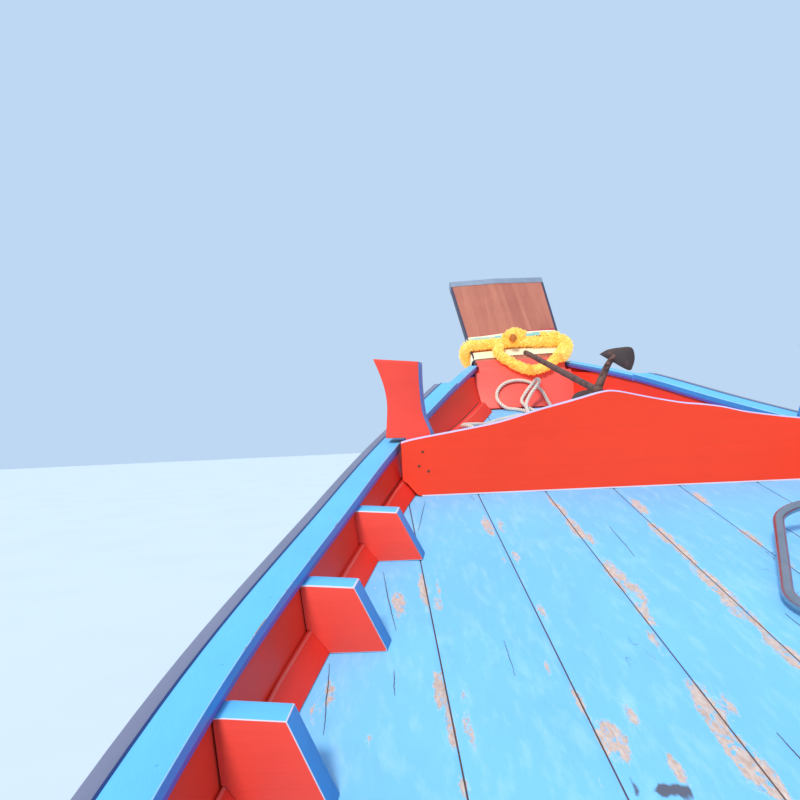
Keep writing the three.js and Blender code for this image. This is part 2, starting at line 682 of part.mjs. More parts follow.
// The prow's outline where a wrapping lies, seen along the board: a tight line round the hull, its keel
// and the board, moved out by the wrapping's own half thickness.
function prowPath(up, reach, out) {
  const [c, w] = [PROW_DIR.x, PROW_DIR.y];
  const toBoard = new THREE.Matrix4().set(1, 0, 0, 0, 0, w, -c, 0, 0, c, w, 0, 0, 0, 0, 1);
  const local = PROW.transform(toBoard.toArray());
  const foot = c * PROW_LOW.y + w * PROW_LOW.z;
  const cuts = [-reach, 0, reach].map((h) => local.slice(foot + up + h));
  const outline = wasm.CrossSection.hull(cuts).offset(out, 'Round', 2, 24).simplify(1).toPolygons()[0];
  const points = outline.map(([x, y]) => new THREE.Vector3(x, y, foot + up));
  const back = toBoard.clone().invert();
  return points.map((p, i) => {
    const before = points[(i + points.length - 1) % points.length];
    const after = points[(i + 1) % points.length];
    const away = new THREE.Vector3(after.y - before.y, before.x - after.x, 0).normalize();
    return { at: p.clone().applyMatrix4(back), away: away.applyMatrix4(back) };
  });
}

// A closed ring round the prow with the given section of [outward, up the board] points.
function prowRing(path, section) {
  return closedLoft(path.map(({ at, away }) => section.map(([out, high]) => [
    at.x + away.x * out,
    at.y + away.y * out + PROW_DIR.x * high,
    at.z + away.z * out + PROW_DIR.y * high,
  ])));
}

// Closed solid through rings that come back to the first one.
function closedLoft(rings) {
  const count = rings[0].length;
  const index = [];
  for (let i = 0; i < rings.length; i += 1) {
    const next = ((i + 1) % rings.length) * count;
    for (let j = 0; j < count; j += 1) {
      const k = (j + 1) % count;
      index.push(i * count + j, i * count + k, next + k, i * count + j, next + k, next + j);
    }
  }
  const geometry = new THREE.BufferGeometry();
  geometry.setAttribute('position', new THREE.Float32BufferAttribute(rings.flat(2), 3));
  geometry.setIndex(index);
  if (volume(geometry) < 0) {
    const list = geometry.index.array;
    for (let i = 0; i < list.length; i += 3) [list[i + 1], list[i + 2]] = [list[i + 2], list[i + 1]];
  }
  return geometry;
}

const GARLAND = { up: 125, radius: 27 };
const RIBBON = { up: 205, thick: 8, high: 44 };

function buildGarland() {
  const wreath = prowPath(GARLAND.up, GARLAND.radius, GARLAND.radius + 4);
  add('prow_garland', prowRing(wreath, circle(GARLAND.radius, 8)), 'garland');
  const band = prowPath(RIBBON.up, RIBBON.high / 2, RIBBON.thick / 2 + 3);
  const [out, high] = [RIBBON.thick / 2, RIBBON.high / 2];
  const flat = [[-out, -high], [out, -high], [out, high], [-out, high]];
  add('prow_ribbons', prowRing(band, flat), 'ribbon');
}

const ROPE = { radius: 8, coil: { x: -190, y: 4115, middle: 126, turnsWide: 3, layers: 3 } };
const ROPE_KNOT = { radius: 19, out: 71 };

// Where the rope's middle is over the foredeck and over the apron, when it lies on them or lift clear.
const onDeck = (x, y, lift = 0) => [x, y, deckZ(y) + ROPE.radius + 1.2 + lift];
const onApron = (x, z, lift = 0) => {
  const face = DECK_BOW + APRON_RAKE * (z - deckZ(DECK_BOW));
  return [x, face - ROPE.radius - 1.9 - lift, z];
};

// The mooring rope's route, in order: down from the anchor's crown, over the coil with a loose end
// bight, a loop and a narrow fold that lean on the apron, and back down to the coil.
const ROPE_ROUTE = [
  [16, 3716, 1438], [16, 3718, 1390], [10, 3728, 1305], onDeck(-14, 3760, 24), onDeck(-105, 3826, 2),
  onDeck(-195, 3888, 14), onDeck(-262, 3968, 60), onDeck(-318, 4100, 56), onDeck(-350, 4190, 56),
  onDeck(-368, 4246, 44), onDeck(-346, 4298, 36), onDeck(-298, 4346, 24), onDeck(-247, 4410, 8),
  onDeck(-185, 4492, 2), onDeck(-100, 4556, 1),
  onDeck(-44, 4588), onDeck(-34, 4640), onDeck(-62, 4686), onDeck(-108, 4712, 4), onApron(-137, 1496),
  onApron(-131, 1540), onApron(-90, 1575), onApron(-28, 1585), onApron(30, 1568), onApron(68, 1532),
  onApron(86, 1486, 2), onDeck(86, 4690, 4), onDeck(58, 4632), onDeck(12, 4624, 2), onDeck(-14, 4676, 6),
  onApron(-30, 1484, 2), onApron(-10, 1520, 6), onApron(20, 1556, 18), onApron(46, 1584, 44),
  onApron(42, 1564, 84), onApron(2, 1516, 70), onDeck(-30, 4650, 34), onDeck(-42, 4580, 18),
  onDeck(-44, 4480, 4), onDeck(-44, 4360), onDeck(-50, 4290), onDeck(-68.6, 4213.7),
];

function buildRope() {
  const { coil, radius } = ROPE;
  const knots = ROPE_ROUTE.map((p) => new THREE.Vector3(...p));
  const route = new THREE.CatmullRomCurve3(knots, false, 'catmullrom', 0.5);
  const section = new THREE.Shape(circle(radius, 8).map(([x, y]) => new THREE.Vector2(x, y)));
  const line = new THREE.ExtrudeGeometry(section, { steps: 80, bevelEnabled: false, extrudePath: route });
  add('mooring_rope', line, 'rope');
  const wide = (coil.turnsWide * radius * 2) / 2;
  const tall = coil.layers * radius * 2;
  const [inside, outside] = [coil.middle - wide, coil.middle + wide];
  const outline = [[inside, 0], [outside, 0], [outside, tall], [inside, tall], [inside, 0]]
    .map(([x, y]) => new THREE.Vector2(x, y));
  const place = new THREE.Group();
  place.position.set(coil.x, coil.y, deckZ(coil.y) + 1.2);
  place.rotation.set(Math.PI / 2 + Math.atan(DECK_SLOPE), 0, 0);
  group.add(place);
  add('rope_coil', new THREE.LatheGeometry(outline, 40), 'rope', place);
  const knot = new THREE.SphereGeometry(ROPE_KNOT.radius, 14, 10)
    .translate(ROPE_KNOT.out, ROPE_KNOT.radius + 1, 0);
  add('rope_knot', knot, 'rope', place);
}

// The drive. The steering axis is upright, the tilt axis lies across the boat through the pivot.
const PIVOT = { y: -5080, z: 1000 };
const REST_TILT = THREE.MathUtils.degToRad(25);
const SHAFT_LINE = 120;             // height of the propeller shaft over the tilt axis
const TUBE_END = -3180;
const MOUNT_TOP = 880;
const SWIVEL_LIFT = 6;
const PIN = 24;
const EAR = { inner: 142, outer: 162, half: 45, hole: 15.6 };

function buildMount() {
  const y = PIVOT.y;
  const low = AFT_DECK_Z + 28 + GAP;
  const post = box(-60, 60, y - 60, y + 60, low, MOUNT_TOP - 12);
  const brace = solid(profile([
    [y + 55, low], [y + 330, low], [y + 330, low + 32], [y + 55, MOUNT_TOP - 120],
  ], 20));
  const plateTop = box(-110, 110, y - 70, y + 70, MOUNT_TOP - 12, MOUNT_TOP);
  const pin = solid(rod([0, y, MOUNT_TOP - 6], [0, y, MOUNT_TOP + 50], PIN, 24));
  add('engine_mount', all([post, brace, plateTop, pin]), 'dark');
}

function buildSwivel() {
  const y = PIVOT.y;
  const low = MOUNT_TOP + SWIVEL_LIFT;
  const base = box(-EAR.outer, EAR.outer, y - 60, y + 60, low, low + 18);
  const ears = [[-EAR.outer, -EAR.inner], [EAR.inner, EAR.outer]].map(([a, b]) => (
    box(a, b, y - EAR.half, y + EAR.half, low, PIVOT.z + 50)
  ));
  const hub = solid(rod([0, y, low], [0, y, low + 30], 46, 24));
  const bore = solid(rod([0, y, low - 10], [0, y, low + 60], PIN + 0.6, 24));
  const trunnions = solid(rod([-200, y, PIVOT.z], [200, y, PIVOT.z], EAR.hole, 24));
  add('engine_swivel', all([base, hub, ...ears]).subtract(bore).subtract(trunnions), 'dark');
}

const BLOCK_TOP = 330;
const COVER_TOP = 408;
const GEARBOX = [[0, 131], [128, 131], [128, 60], [92, 20], [70, -60], [52, -140], [0, -140]];
const STACK = {
  radius: 21,
  path: [
    [152, 470, 270], [215, 470, 272], [262, 440, 310], [268, 380, 400], [268, 330, 560], [268, 322, 700],
  ],
};
const TILLER = {
  radius: 17,
  path: [
    [-110, 320, -44], [-110, 560, -44], [-110, 780, -44], [-110, 900, -10], [-110, 1060, 90],
    [-110, 1300, 160],
  ],
};
const SHAFT = { radius: 30, bearing: 42, bearingLong: 140 };

function buildEngine() {
  const drive = new THREE.Group();
  drive.position.set(0, PIVOT.y, PIVOT.z);
  drive.rotation.set(REST_TILT, 0, 0);
  group.add(drive);
  const rails = [[-125, -95], [95, 125]].map(([a, b]) => box(a, b, -330, 760, -26, 26));
  const crossings = [[-330, -290], [60, 100], [700, 740]].map(([a, b]) => box(-110, 110, a, b, -24, -10));
  const saddle = box(-50, 50, -326, -300, -20, SHAFT_LINE - SHAFT.radius - GAP);
  const trunnion = solid(rod([-180, 0, 0], [180, 0, 0], 15, 24));
  add('engine_cradle', all([...rails, ...crossings, saddle, trunnion]), 'dark', drive);
  add('engine_block', box(-150, 150, 132, 640, 26 + GAP, BLOCK_TOP), 'engine', drive);
  add('valve_cover', box(-92, 92, 165, 610, BLOCK_TOP + GAP, COVER_TOP), 'engine', drive);
  const cleaner = new THREE.CylinderGeometry(88, 88, 80, 28)
    .rotateX(Math.PI / 2)
    .translate(0, 400, COVER_TOP + GAP + 40);
  add('air_cleaner', cleaner, 'dark', drive);
  add('radiator', box(-170, 170, 692, 752, 26 + GAP, 360), 'dark', drive);
  const housing = GEARBOX.map(([r, y]) => new THREE.Vector2(r, y)).reverse();
  add('gearbox', new THREE.LatheGeometry(housing, 28).translate(0, 0, SHAFT_LINE), 'lead', drive);
  add('exhaust_pipe', tube(STACK.path, STACK.radius, 18, 10), 'rust', drive);
  add('tiller_handle', tube(TILLER.path, TILLER.radius, 20, 10), 'steel', drive);
  const pipe = solid(rod([0, -140 - GAP, SHAFT_LINE], [0, TUBE_END, SHAFT_LINE], SHAFT.radius, 20));
  const bearingFrom = TUBE_END + SHAFT.bearingLong;
  const bearing = solid(rod([0, bearingFrom, SHAFT_LINE], [0, TUBE_END, SHAFT_LINE], SHAFT.bearing, 20));
  const skeg = solid(profile([
    [TUBE_END + 30, SHAFT_LINE],
    [TUBE_END, SHAFT_LINE - 190],
    [TUBE_END + 60, SHAFT_LINE - 195],
    [TUBE_END + 330, SHAFT_LINE],
  ], 5));
  add('shaft_tube', all([pipe, bearing, skeg]), 'steel', drive);
  add('propeller', propeller(), 'brass', drive);
}

const BLADES = 3;
const BLADE_PITCH = THREE.MathUtils.degToRad(32);

function propeller() {
  const y = TUBE_END - 90;
  const shaft = solid(rod([0, TUBE_END - 1.5, SHAFT_LINE], [0, y - 60, SHAFT_LINE], 14, 16));
  const hub = solid(rod([0, y + 38, SHAFT_LINE], [0, y - 38, SHAFT_LINE], 32, 20));
  const outline = new THREE.Shape();
  outline.moveTo(-22, 20);
  outline.bezierCurveTo(-62, 70, -52, 150, -6, 168);
  outline.bezierCurveTo(42, 160, 56, 90, 24, 20);
  const blades = Array.from({ length: BLADES }, (_, i) => {
    const blade = new THREE.ExtrudeGeometry(outline, { depth: 8, bevelEnabled: false, curveSegments: 8 });
    blade.translate(0, 0, -4)
      .rotateX(Math.PI / 2)
      .rotateZ(BLADE_PITCH)
      .rotateY((i / BLADES) * Math.PI * 2);
    return solid(blade.translate(0, y, SHAFT_LINE));
  });
  return all([shaft, hub, ...blades]);
}

function buildTank() {
  const low = AFT_DECK_Z + 28 + GAP;
  const body = box(-560, -310, -4750, -4400, low, low + 250);
  const neck = solid(rod([-500, -4460, low + 240], [-500, -4460, low + 285], 30, 20));
  add('fuel_tank', all([body, neck]), 'plastic');
}

buildHull();
buildForedeck();
buildRails();
buildBeam();
buildProw();
buildWell();
buildCanopy();
buildLadder();
buildAnchor();
buildGarland();
buildRope();
buildMount();
buildSwivel();
buildEngine();
buildTank();

export default group;
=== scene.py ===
"""A wooden longtail boat, seen over its foredeck. Metres, +Z up, +Y to the bow, +X to starboard."""
import bisect
import json
import math
import random

import bmesh
import bpy
from mathutils import Matrix, Vector, noise
from mathutils.geometry import convex_hull_2d

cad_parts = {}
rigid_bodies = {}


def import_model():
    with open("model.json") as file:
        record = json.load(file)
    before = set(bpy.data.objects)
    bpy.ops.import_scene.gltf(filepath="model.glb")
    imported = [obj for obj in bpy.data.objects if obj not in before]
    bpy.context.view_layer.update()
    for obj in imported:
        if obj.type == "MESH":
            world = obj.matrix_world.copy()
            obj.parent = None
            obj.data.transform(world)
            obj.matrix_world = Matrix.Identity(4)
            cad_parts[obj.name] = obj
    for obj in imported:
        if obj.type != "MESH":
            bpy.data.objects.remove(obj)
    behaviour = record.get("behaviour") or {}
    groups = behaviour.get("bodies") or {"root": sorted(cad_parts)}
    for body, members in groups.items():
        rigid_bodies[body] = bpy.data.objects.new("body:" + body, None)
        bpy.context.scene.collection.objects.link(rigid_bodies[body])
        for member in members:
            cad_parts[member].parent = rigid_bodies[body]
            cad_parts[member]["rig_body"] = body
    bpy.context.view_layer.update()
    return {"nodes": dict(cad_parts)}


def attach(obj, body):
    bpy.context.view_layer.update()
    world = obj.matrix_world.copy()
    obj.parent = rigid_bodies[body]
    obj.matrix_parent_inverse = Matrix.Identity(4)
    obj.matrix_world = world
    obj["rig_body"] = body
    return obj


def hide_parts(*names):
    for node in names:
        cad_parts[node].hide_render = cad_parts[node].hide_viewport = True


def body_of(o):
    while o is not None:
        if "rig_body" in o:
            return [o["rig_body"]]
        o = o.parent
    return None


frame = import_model()

# The hull's lines, as in the CAD model: y, inner half-breadth, sheer height, fullness
LINES = [
    (-5.200, 0.860, 0.700, 2.40),
    (-4.000, 0.985, 0.625, 2.50),
    (-2.500, 1.070, 0.582, 2.50),
    (-1.000, 1.105, 0.578, 2.50),
    (0.400, 1.105, 0.635, 2.40),
    (1.500, 1.066, 0.800, 2.20),
    (2.330, 0.964, 0.991, 2.00),
    (3.140, 0.775, 1.181, 1.70),
    (3.600, 0.658, 1.290, 1.55),
    (4.000, 0.522, 1.402, 1.42),
    (4.412, 0.358, 1.535, 1.30),
    (4.866, 0.206, 1.645, 1.20),
]
INNER, SHEER, FULLNESS = 1, 2, 3
STERN = -5.2
BEAM_Y, BEAM_THICK = 3.6, 0.046
DECK_AT_BEAM, DECK_SLOPE = 1.169, 0.2475
DECK_AFT, DECK_BOW, DECK_THICK = 0.9, 4.745, 0.028
APRON_RAKE, APRON_THICK = 0.5, 0.028
RAIL_OVERHANG, PLANK, KEEL_FLOOR, KEEL_HALF = 0.008, 0.025, 0.055, 0.032
WIDE_RAIL_END, RAIL_END = 4.412, 4.866
PROW_LOW = Vector((0, 4.862, 1.668))
PROW_TOP = Vector((0, 5.405, 2.181))
PROW_HALF_LOW, PROW_HALF_TOP = 0.214, 0.250
PROW_THICK = 0.045
PROW_RIDGE, PROW_TUCK, PROW_TUCKED_AT = 0.008, 0.014, 0.25
PROW_UP = (PROW_TOP - PROW_LOW).normalized()
PROW_IN = Vector((0, PROW_UP.z, -PROW_UP.y))       # through the board, from its aft face
PROW_BACK = PROW_LOW + PROW_IN * PROW_THICK
PROW_END = (PROW_TOP + PROW_IN * PROW_THICK).y
STEM_TIP = 5.522
FLOOR_Z, AFT_DECK_Z = -0.060, 0.430
HALF_POINTS = 8
INSIDE_END = 4.74                   # the last section that is open inside
SIDES = (("port", -1), ("starboard", 1))
AHEAD, UP = (0, 1, 0), (0, 0, 1)


def line(column, y):
    """Cubic interpolation in the table of lines, with slopes from the neighbouring rows."""
    last = len(LINES) - 1
    y = min(max(y, LINES[0][0]), LINES[last][0])
    i = min(max(bisect.bisect_left([row[0] for row in LINES], y) - 1, 0), last - 1)

    def slope(k):
        a, b = LINES[max(k - 1, 0)], LINES[min(k + 1, last)]
        return (b[column] - a[column]) / (b[0] - a[0])

    p, q = LINES[i], LINES[i + 1]
    step = q[0] - p[0]
    t = (y - p[0]) / step
    part = t * t * (3 - 2 * t)
    rise = t * (1 - t) ** 2 * slope(i) - t * t * (1 - t) * slope(i + 1)
    return p[column] * (1 - part) + q[column] * part + step * rise


def inner(y):
    return line(INNER, y)


def sheer(y):
    return line(SHEER, y)


def deck_z(y):
    return DECK_AT_BEAM + DECK_SLOPE * (y - BEAM_Y)


def apron_y(z):
    return DECK_BOW + APRON_RAKE * (z - deck_z(DECK_BOW))


def keel_z(y):
    if y > 0.6:
        return -0.27 + 2.4 * ((y - 0.6) / 4.92) ** 3.48
    aft = max(0, (-y - 2) / (-STERN - 2))
    return -0.27 + 0.12 * aft * aft


def keel_deep(y):
    """How far the keel stands out under the planking, less towards the stem."""
    return 0.045 * min(1, max(0, 0.15 + (5.47 - y) / 0.4))


def top_z(y):
    if y < PROW_BACK.y:
        return sheer(y)
    return PROW_BACK.z + PROW_UP.z / PROW_UP.y * (min(y, PROW_END) - PROW_BACK.y)


def skin_half(y):
    if y <= PROW_BACK.y:
        return inner(y) + RAIL_OVERHANG + PLANK
    start = inner(PROW_BACK.y) + RAIL_OVERHANG + PLANK
    part = min(1, (y - PROW_BACK.y) / (PROW_END - PROW_BACK.y))
    board = PROW_HALF_LOW + (PROW_HALF_TOP - PROW_HALF_LOW) * part
    along = start + (board - PROW_TUCK - start) * min(1, part / PROW_TUCKED_AT)
    if y <= PROW_END:
        return along
    return along + (0.03 - along) * ((y - PROW_END) / (STEM_TIP - PROW_END))


def half_section(half, bottom, top, fullness):
    """Points (x, z) of half a section, from the keel to the top edge."""
    points = []
    for i in range(HALF_POINTS):
        angle = i / (HALF_POINTS - 1) * math.pi / 2
        x = half * math.sin(angle) ** (2 / fullness)
        z = top - (top - bottom) * max(math.cos(angle), 0) ** (2 / fullness)
        points.append((x, z))
    return points


def wall_at(y, z):
    """Half-breadth of the planking's inner face at a height."""
    part = (sheer(y) - z) / (sheer(y) - keel_z(y) - KEEL_FLOOR)
    part = min(1, max(0, part))
    power = line(FULLNESS, y)
    return (inner(y) + RAIL_OVERHANG) * (1 - part ** power) ** (1 / power)


def wall_z(y, x):
    """Height of the planking's inner face at a half-breadth."""
    power = line(FULLNESS, y)
    part = min(1, abs(x) / (inner(y) + RAIL_OVERHANG))
    return sheer(y) - (sheer(y) - keel_z(y) - KEEL_FLOOR) * (1 - part ** power) ** (1 / power)


def spread(start, end, count):
    return [start + (end - start) * i / count for i in range(count + 1)]


def catmull(points, per):
    """A smooth line through points, per steps between each two."""
    points = [Vector(p) for p in points]
    found = []
    for i in range(len(points) - 1):
        p1, p2 = points[i], points[i + 1]
        p0 = points[i - 1] if i else p1 * 2 - p2
        p3 = points[i + 2] if i + 2 < len(points) else p2 * 2 - p1
        for k in range(per):
            t = k / per
            found.append(0.5 * (
                2 * p1 + (p2 - p0) * t + (2 * p0 - 5 * p1 + 4 * p2 - p3) * t * t
                + (3 * p1 - p0 - 3 * p2 + p3) * t ** 3
            ))
    return found + [points[-1]]


def evenly(points, step):
    """The same line with its points a fixed distance apart."""
    total = sum((b - a).length for a, b in zip(points, points[1:]))
    count = max(2, round(total / step))
    found, walked, i = [points[0]], 0.0, 0
    for k in range(1, count):
        target = total * k / count
        while walked + (points[i + 1] - points[i]).length < target:
            walked += (points[i + 1] - points[i]).length
            i += 1
        leg = points[i + 1] - points[i]
        found.append(points[i] + leg * ((target - walked) / leg.length))
    return found + [points[-1]]


# The camera, at the place from which the photograph was taken
CAMERA_AT = (-0.7403, 1.3, 1.363)
CAMERA_YAW, CAMERA_PITCH, CAMERA_ROLL = (math.radians(a) for a in (-1.972, 2.789, -2.671))
CAMERA_LENS, CAMERA_SENSOR, CAMERA_SHIFT = 33.75, 36.0, 0.075


def make_camera():
    ahead = Vector((
        math.sin(CAMERA_YAW) * math.cos(CAMERA_PITCH),
        math.cos(CAMERA_YAW) * math.cos(CAMERA_PITCH),
        math.sin(CAMERA_PITCH),
    ))
    level = Vector((math.cos(CAMERA_YAW), -math.sin(CAMERA_YAW), 0))
    above = level.cross(ahead)
    right = level * math.cos(CAMERA_ROLL) + above * math.sin(CAMERA_ROLL)
    up = above * math.cos(CAMERA_ROLL) - level * math.sin(CAMERA_ROLL)
    data = bpy.data.cameras.new("camera")
    data.lens, data.sensor_width, data.shift_x = CAMERA_LENS, CAMERA_SENSOR, CAMERA_SHIFT
    camera = linked("camera", data)
    camera.matrix_world = Matrix.Translation(CAMERA_AT) @ Matrix((right, up, -ahead)).transposed().to_4x4()
    bpy.context.scene.camera = camera


def linked(name, data):
    made = bpy.data.objects.new(name, data)
    bpy.context.scene.collection.objects.link(made)
    return made


# Making meshes
def piece(name, verts, faces, materials, body="hull", slot=None, replaces=(), smooth=None, index=None):
    """A named mesh that rides on a body. materials are keys of MAT; index gives each face its material."""
    mesh = bpy.data.meshes.new(name)
    mesh.from_pydata([tuple(v) for v in verts], [], faces)
    for key in materials.split():
        mesh.materials.append(MAT[key])
    if index is not None:
        mesh.polygons.foreach_set("material_index", index)
    work = bmesh.new()
    work.from_mesh(mesh)
    bmesh.ops.recalc_face_normals(work, faces=work.faces)
    work.to_mesh(mesh)
    work.free()
    return placed(name, mesh, body, replaces, smooth)


def placed(name, mesh, body, replaces=(), smooth=None):
    made = linked(name, mesh)
    if smooth is not None:
        mesh.shade_smooth()
        mesh.set_sharp_from_angle(angle=math.radians(smooth))
    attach(made, body)
    if replaces:
        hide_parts(*replaces)
    return made


def loft(rings, joined=False):
    """Vertices and faces of a skin over rings of equal length, joined into a loop or closed at its ends."""
    count = len(rings[0])
    verts = [p for ring in rings for p in ring]
    faces = []
    for i in range(len(rings) if joined else len(rings) - 1):
        a, b = i * count, (i + 1) % len(rings) * count
        for j in range(count):
            k = (j + 1) % count
            faces.append((a + j, a + k, b + k, b + j))
    if not joined:
        faces.append(tuple(range(count))[::-1])
        faces.append(tuple(range((len(rings) - 1) * count, len(rings) * count)))
    return verts, faces


def together(parts):
    """Several (verts, faces) as one."""
    verts, faces = [], []
    for more, shapes in parts:
        base = len(verts)
        verts += list(more)
        faces += [tuple(base + i for i in face) for face in shapes]
    return verts, faces


def frames(path, joined):
    """Tangent and two cross directions along a path, without twisting."""
    count = len(path)
    found = []
    side = None
    for i, point in enumerate(path):
        if joined:
            ahead = path[(i + 1) % count] - path[i - 1]
        else:
            ahead = path[min(i + 1, count - 1)] - path[max(i - 1, 0)]
        ahead.normalize()
        if side is None:
            side = ahead.orthogonal().normalized()
        side = (side - ahead * side.dot(ahead)).normalized()
        found.append((ahead, side, ahead.cross(side)))
    return found


def tube(path, radius, sides, joined=False, section=None):
    """A round tube along a path. section(i, angle) scales its radius."""
    path = [Vector(p) for p in path]
    rings = []
    for i, (point, (_, a, b)) in enumerate(zip(path, frames(path, joined))):
        ring = []
        for k in range(sides):
            angle = k / sides * math.tau
            size = radius * (section(i, angle) if section else 1)
            ring.append(point + a * (size * math.cos(angle)) + b * (size * math.sin(angle)))
        rings.append(ring)
    return loft(rings, joined)


def lathe(profile, at, axis, sides):
    """(radius, height) points turned about an axis through at."""
    axis = Vector(axis).normalized()
    a = axis.orthogonal().normalized()
    b = axis.cross(a)
    turns = [k / sides * math.tau for k in range(sides)]
    rings = []
    for radius, height in profile:
        centre = Vector(at) + axis * height
        rings.append([centre + a * (radius * math.cos(t)) + b * (radius * math.sin(t)) for t in turns])
    return loft(rings)


def block(low, high, turn=None):
    """A box between two corners, then moved by a matrix."""
    (x0, y0, z0), (x1, y1, z1) = low, high
    verts = [Vector((x, y, z)) for x in (x0, x1) for y in (y0, y1) for z in (z0, z1)]
    if turn is not None:
        verts = [turn @ v for v in verts]
    return verts, [(0, 1, 3, 2), (4, 6, 7, 5), (0, 4, 5, 1), (2, 3, 7, 6), (0, 2, 6, 4), (1, 5, 7, 3)]


def bevelled(work, width, segments, angle, edge_material):
    """Rounds the edges that are sharper than the angle."""
    edges = [e for e in work.edges if len(e.link_faces) == 2 and e.calc_face_angle(0) > math.radians(angle)]
    bmesh.ops.bevel(
        work, geom=edges, offset=width, segments=segments, profile=0.5, affect="EDGES",
        clamp_overlap=True, material=edge_material,
    )


def softened(made, width, segments, angle, edge_material=-1):
    """Rounds the sharp edges of a made piece."""
    work = bmesh.new()
    work.from_mesh(made.data)
    bevelled(work, width, segments, angle, edge_material)
    work.to_mesh(made.data)
    work.free()
    made.data.shade_smooth()
    made.data.set_sharp_from_angle(angle=math.radians(40))
    return made


def refined(node, name, width, materials, pick=None, segments=2):
    """A CAD node's shape with rounded edges. pick chooses a face's material from its normal and middle."""
    source = frame["nodes"][node]
    mesh = source.data.copy()
    mesh.name = name
    mesh.materials.clear()
    for key in materials.split():
        mesh.materials.append(MAT[key])
    work = bmesh.new()
    work.from_mesh(mesh)
    bmesh.ops.remove_doubles(work, verts=work.verts, dist=1e-5)
    bmesh.ops.dissolve_limit(work, angle_limit=math.radians(0.6), verts=work.verts, edges=work.edges)
    for face in work.faces:
        face.material_index = pick(face.normal, face.calc_center_median()) if pick else 0
        face.smooth = False
    bevelled(work, width, segments, 28, len(mesh.materials) - 1)
    bmesh.ops.triangulate(work, faces=[f for f in work.faces if len(f.verts) > 4])
    work.to_mesh(mesh)
    work.free()
    for layer in [a.name for a in mesh.color_attributes]:
        mesh.color_attributes.remove(mesh.color_attributes[layer])
    return placed(name, mesh, body_of(source)[0], (node,), 35)


def scatter_domes(points, radius, height, sides=8):
    """Small round heads at (point, direction) places."""
    dome = [(radius, -height), (radius, height * 0.3), (radius * 0.75, height * 0.8), (radius * 0.3, height)]
    return together([lathe(dome, at, axis, sides) for at, axis in points])


# Making materials
def srgb(red, green, blue):
    """A colour given in 0 to 255 as seen, as the renderer counts it."""
    def one(value):
        value /= 255
        return value / 12.92 if value <= 0.04045 else ((value + 0.055) / 1.055) ** 2.4
    return (one(red), one(green), one(blue), 1)


def shade(colour, factor):
    return (*(min(1, c * factor) for c in colour[:3]), 1)


class Finish:
    """A material whose nodes are added by short calls."""

    def __init__(self, name):
        self.material = bpy.data.materials.new(name)
        self.material.use_nodes = True
        self.nodes = self.material.node_tree.nodes
        self.links = self.material.node_tree.links
        self.shader = self.nodes["Principled BSDF"]
        self.place = self.nodes.new("ShaderNodeTexCoord").outputs["Object"]

    def feed(self, socket, value):
        if isinstance(value, bpy.types.NodeSocket):
            self.links.new(value, socket)
        else:
            socket.default_value = value

    def node(self, kind, inputs, **settings):
        made = self.nodes.new("ShaderNode" + kind)
        for name, value in settings.items():
            setattr(made, name, value)
        for name, value in inputs.items():
            self.feed(made.inputs[name], value)
        return made

    def noise(self, scale, stretch, detail, rough, bent=0.0):
        place = self.node("Mapping", {"Vector": self.place, "Scale": stretch}).outputs[0]
        inputs = {"Vector": place, "Scale": scale, "Detail": detail, "Roughness": rough, "Distortion": bent}
        return self.node("TexNoise", inputs).outputs["Fac"]

    def math(self, operation, a, b=0.0, clamp=False):
        return self.node("Math", {0: a, 1: b}, operation=operation, use_clamp=clamp).outputs[0]

    def add(self, a, b, clamp=False):
        return self.math("ADD", a, b, clamp)

    def less(self, a, b):
        return self.math("SUBTRACT", a, b)

    def times(self, a, b):
        return self.math("MULTIPLY", a, b)

    def band(self, value, low, high, to_low=0.0, to_high=1.0):
        """value from low to high becomes to_low to to_high, and stays there outside."""
        inputs = {"Value": value, "From Min": low, "From Max": high, "To Min": to_low, "To Max": to_high}
        return self.node("MapRange", inputs, clamp=True).outputs[0]

    def mix(self, factor, a, b):
        return self.node("Mix", {0: factor, 6: a, 7: b}, data_type="RGBA").outputs[2]

    def tint(self, tone, value, low, high, colour, share):
        """Mixes a share of the colour into the tone, none where value is low and all of it where high."""
        return self.mix(self.band(value, low, high, 0, share), tone, colour)

    def attribute(self, name):
        return self.node("Attribute", {}, attribute_name=name).outputs["Fac"]

    def bump(self, height, distance, strength):
        inputs = {"Height": height, "Distance": distance, "Strength": strength}
        return self.node("Bump", inputs).outputs[0]

    def out(self, colour, rough, normal=None, **constants):
        for name, value in (("Base Color", colour), ("Roughness", rough), ("Normal", normal)):
            if value is not None:
                self.feed(self.shader.inputs[name], value)
        for name, value in constants.items():
            self.shader.inputs[name.replace("_", " ")].default_value = value
        return self.material


EVEN = (1, 1, 1)
ALONG = {"x": (0.05, 1, 1), "y": (1, 0.05, 1), "z": (1, 1, 0.05), "v": (1, 0.05, 0.05)}
BARE = srgb(196, 170, 150)


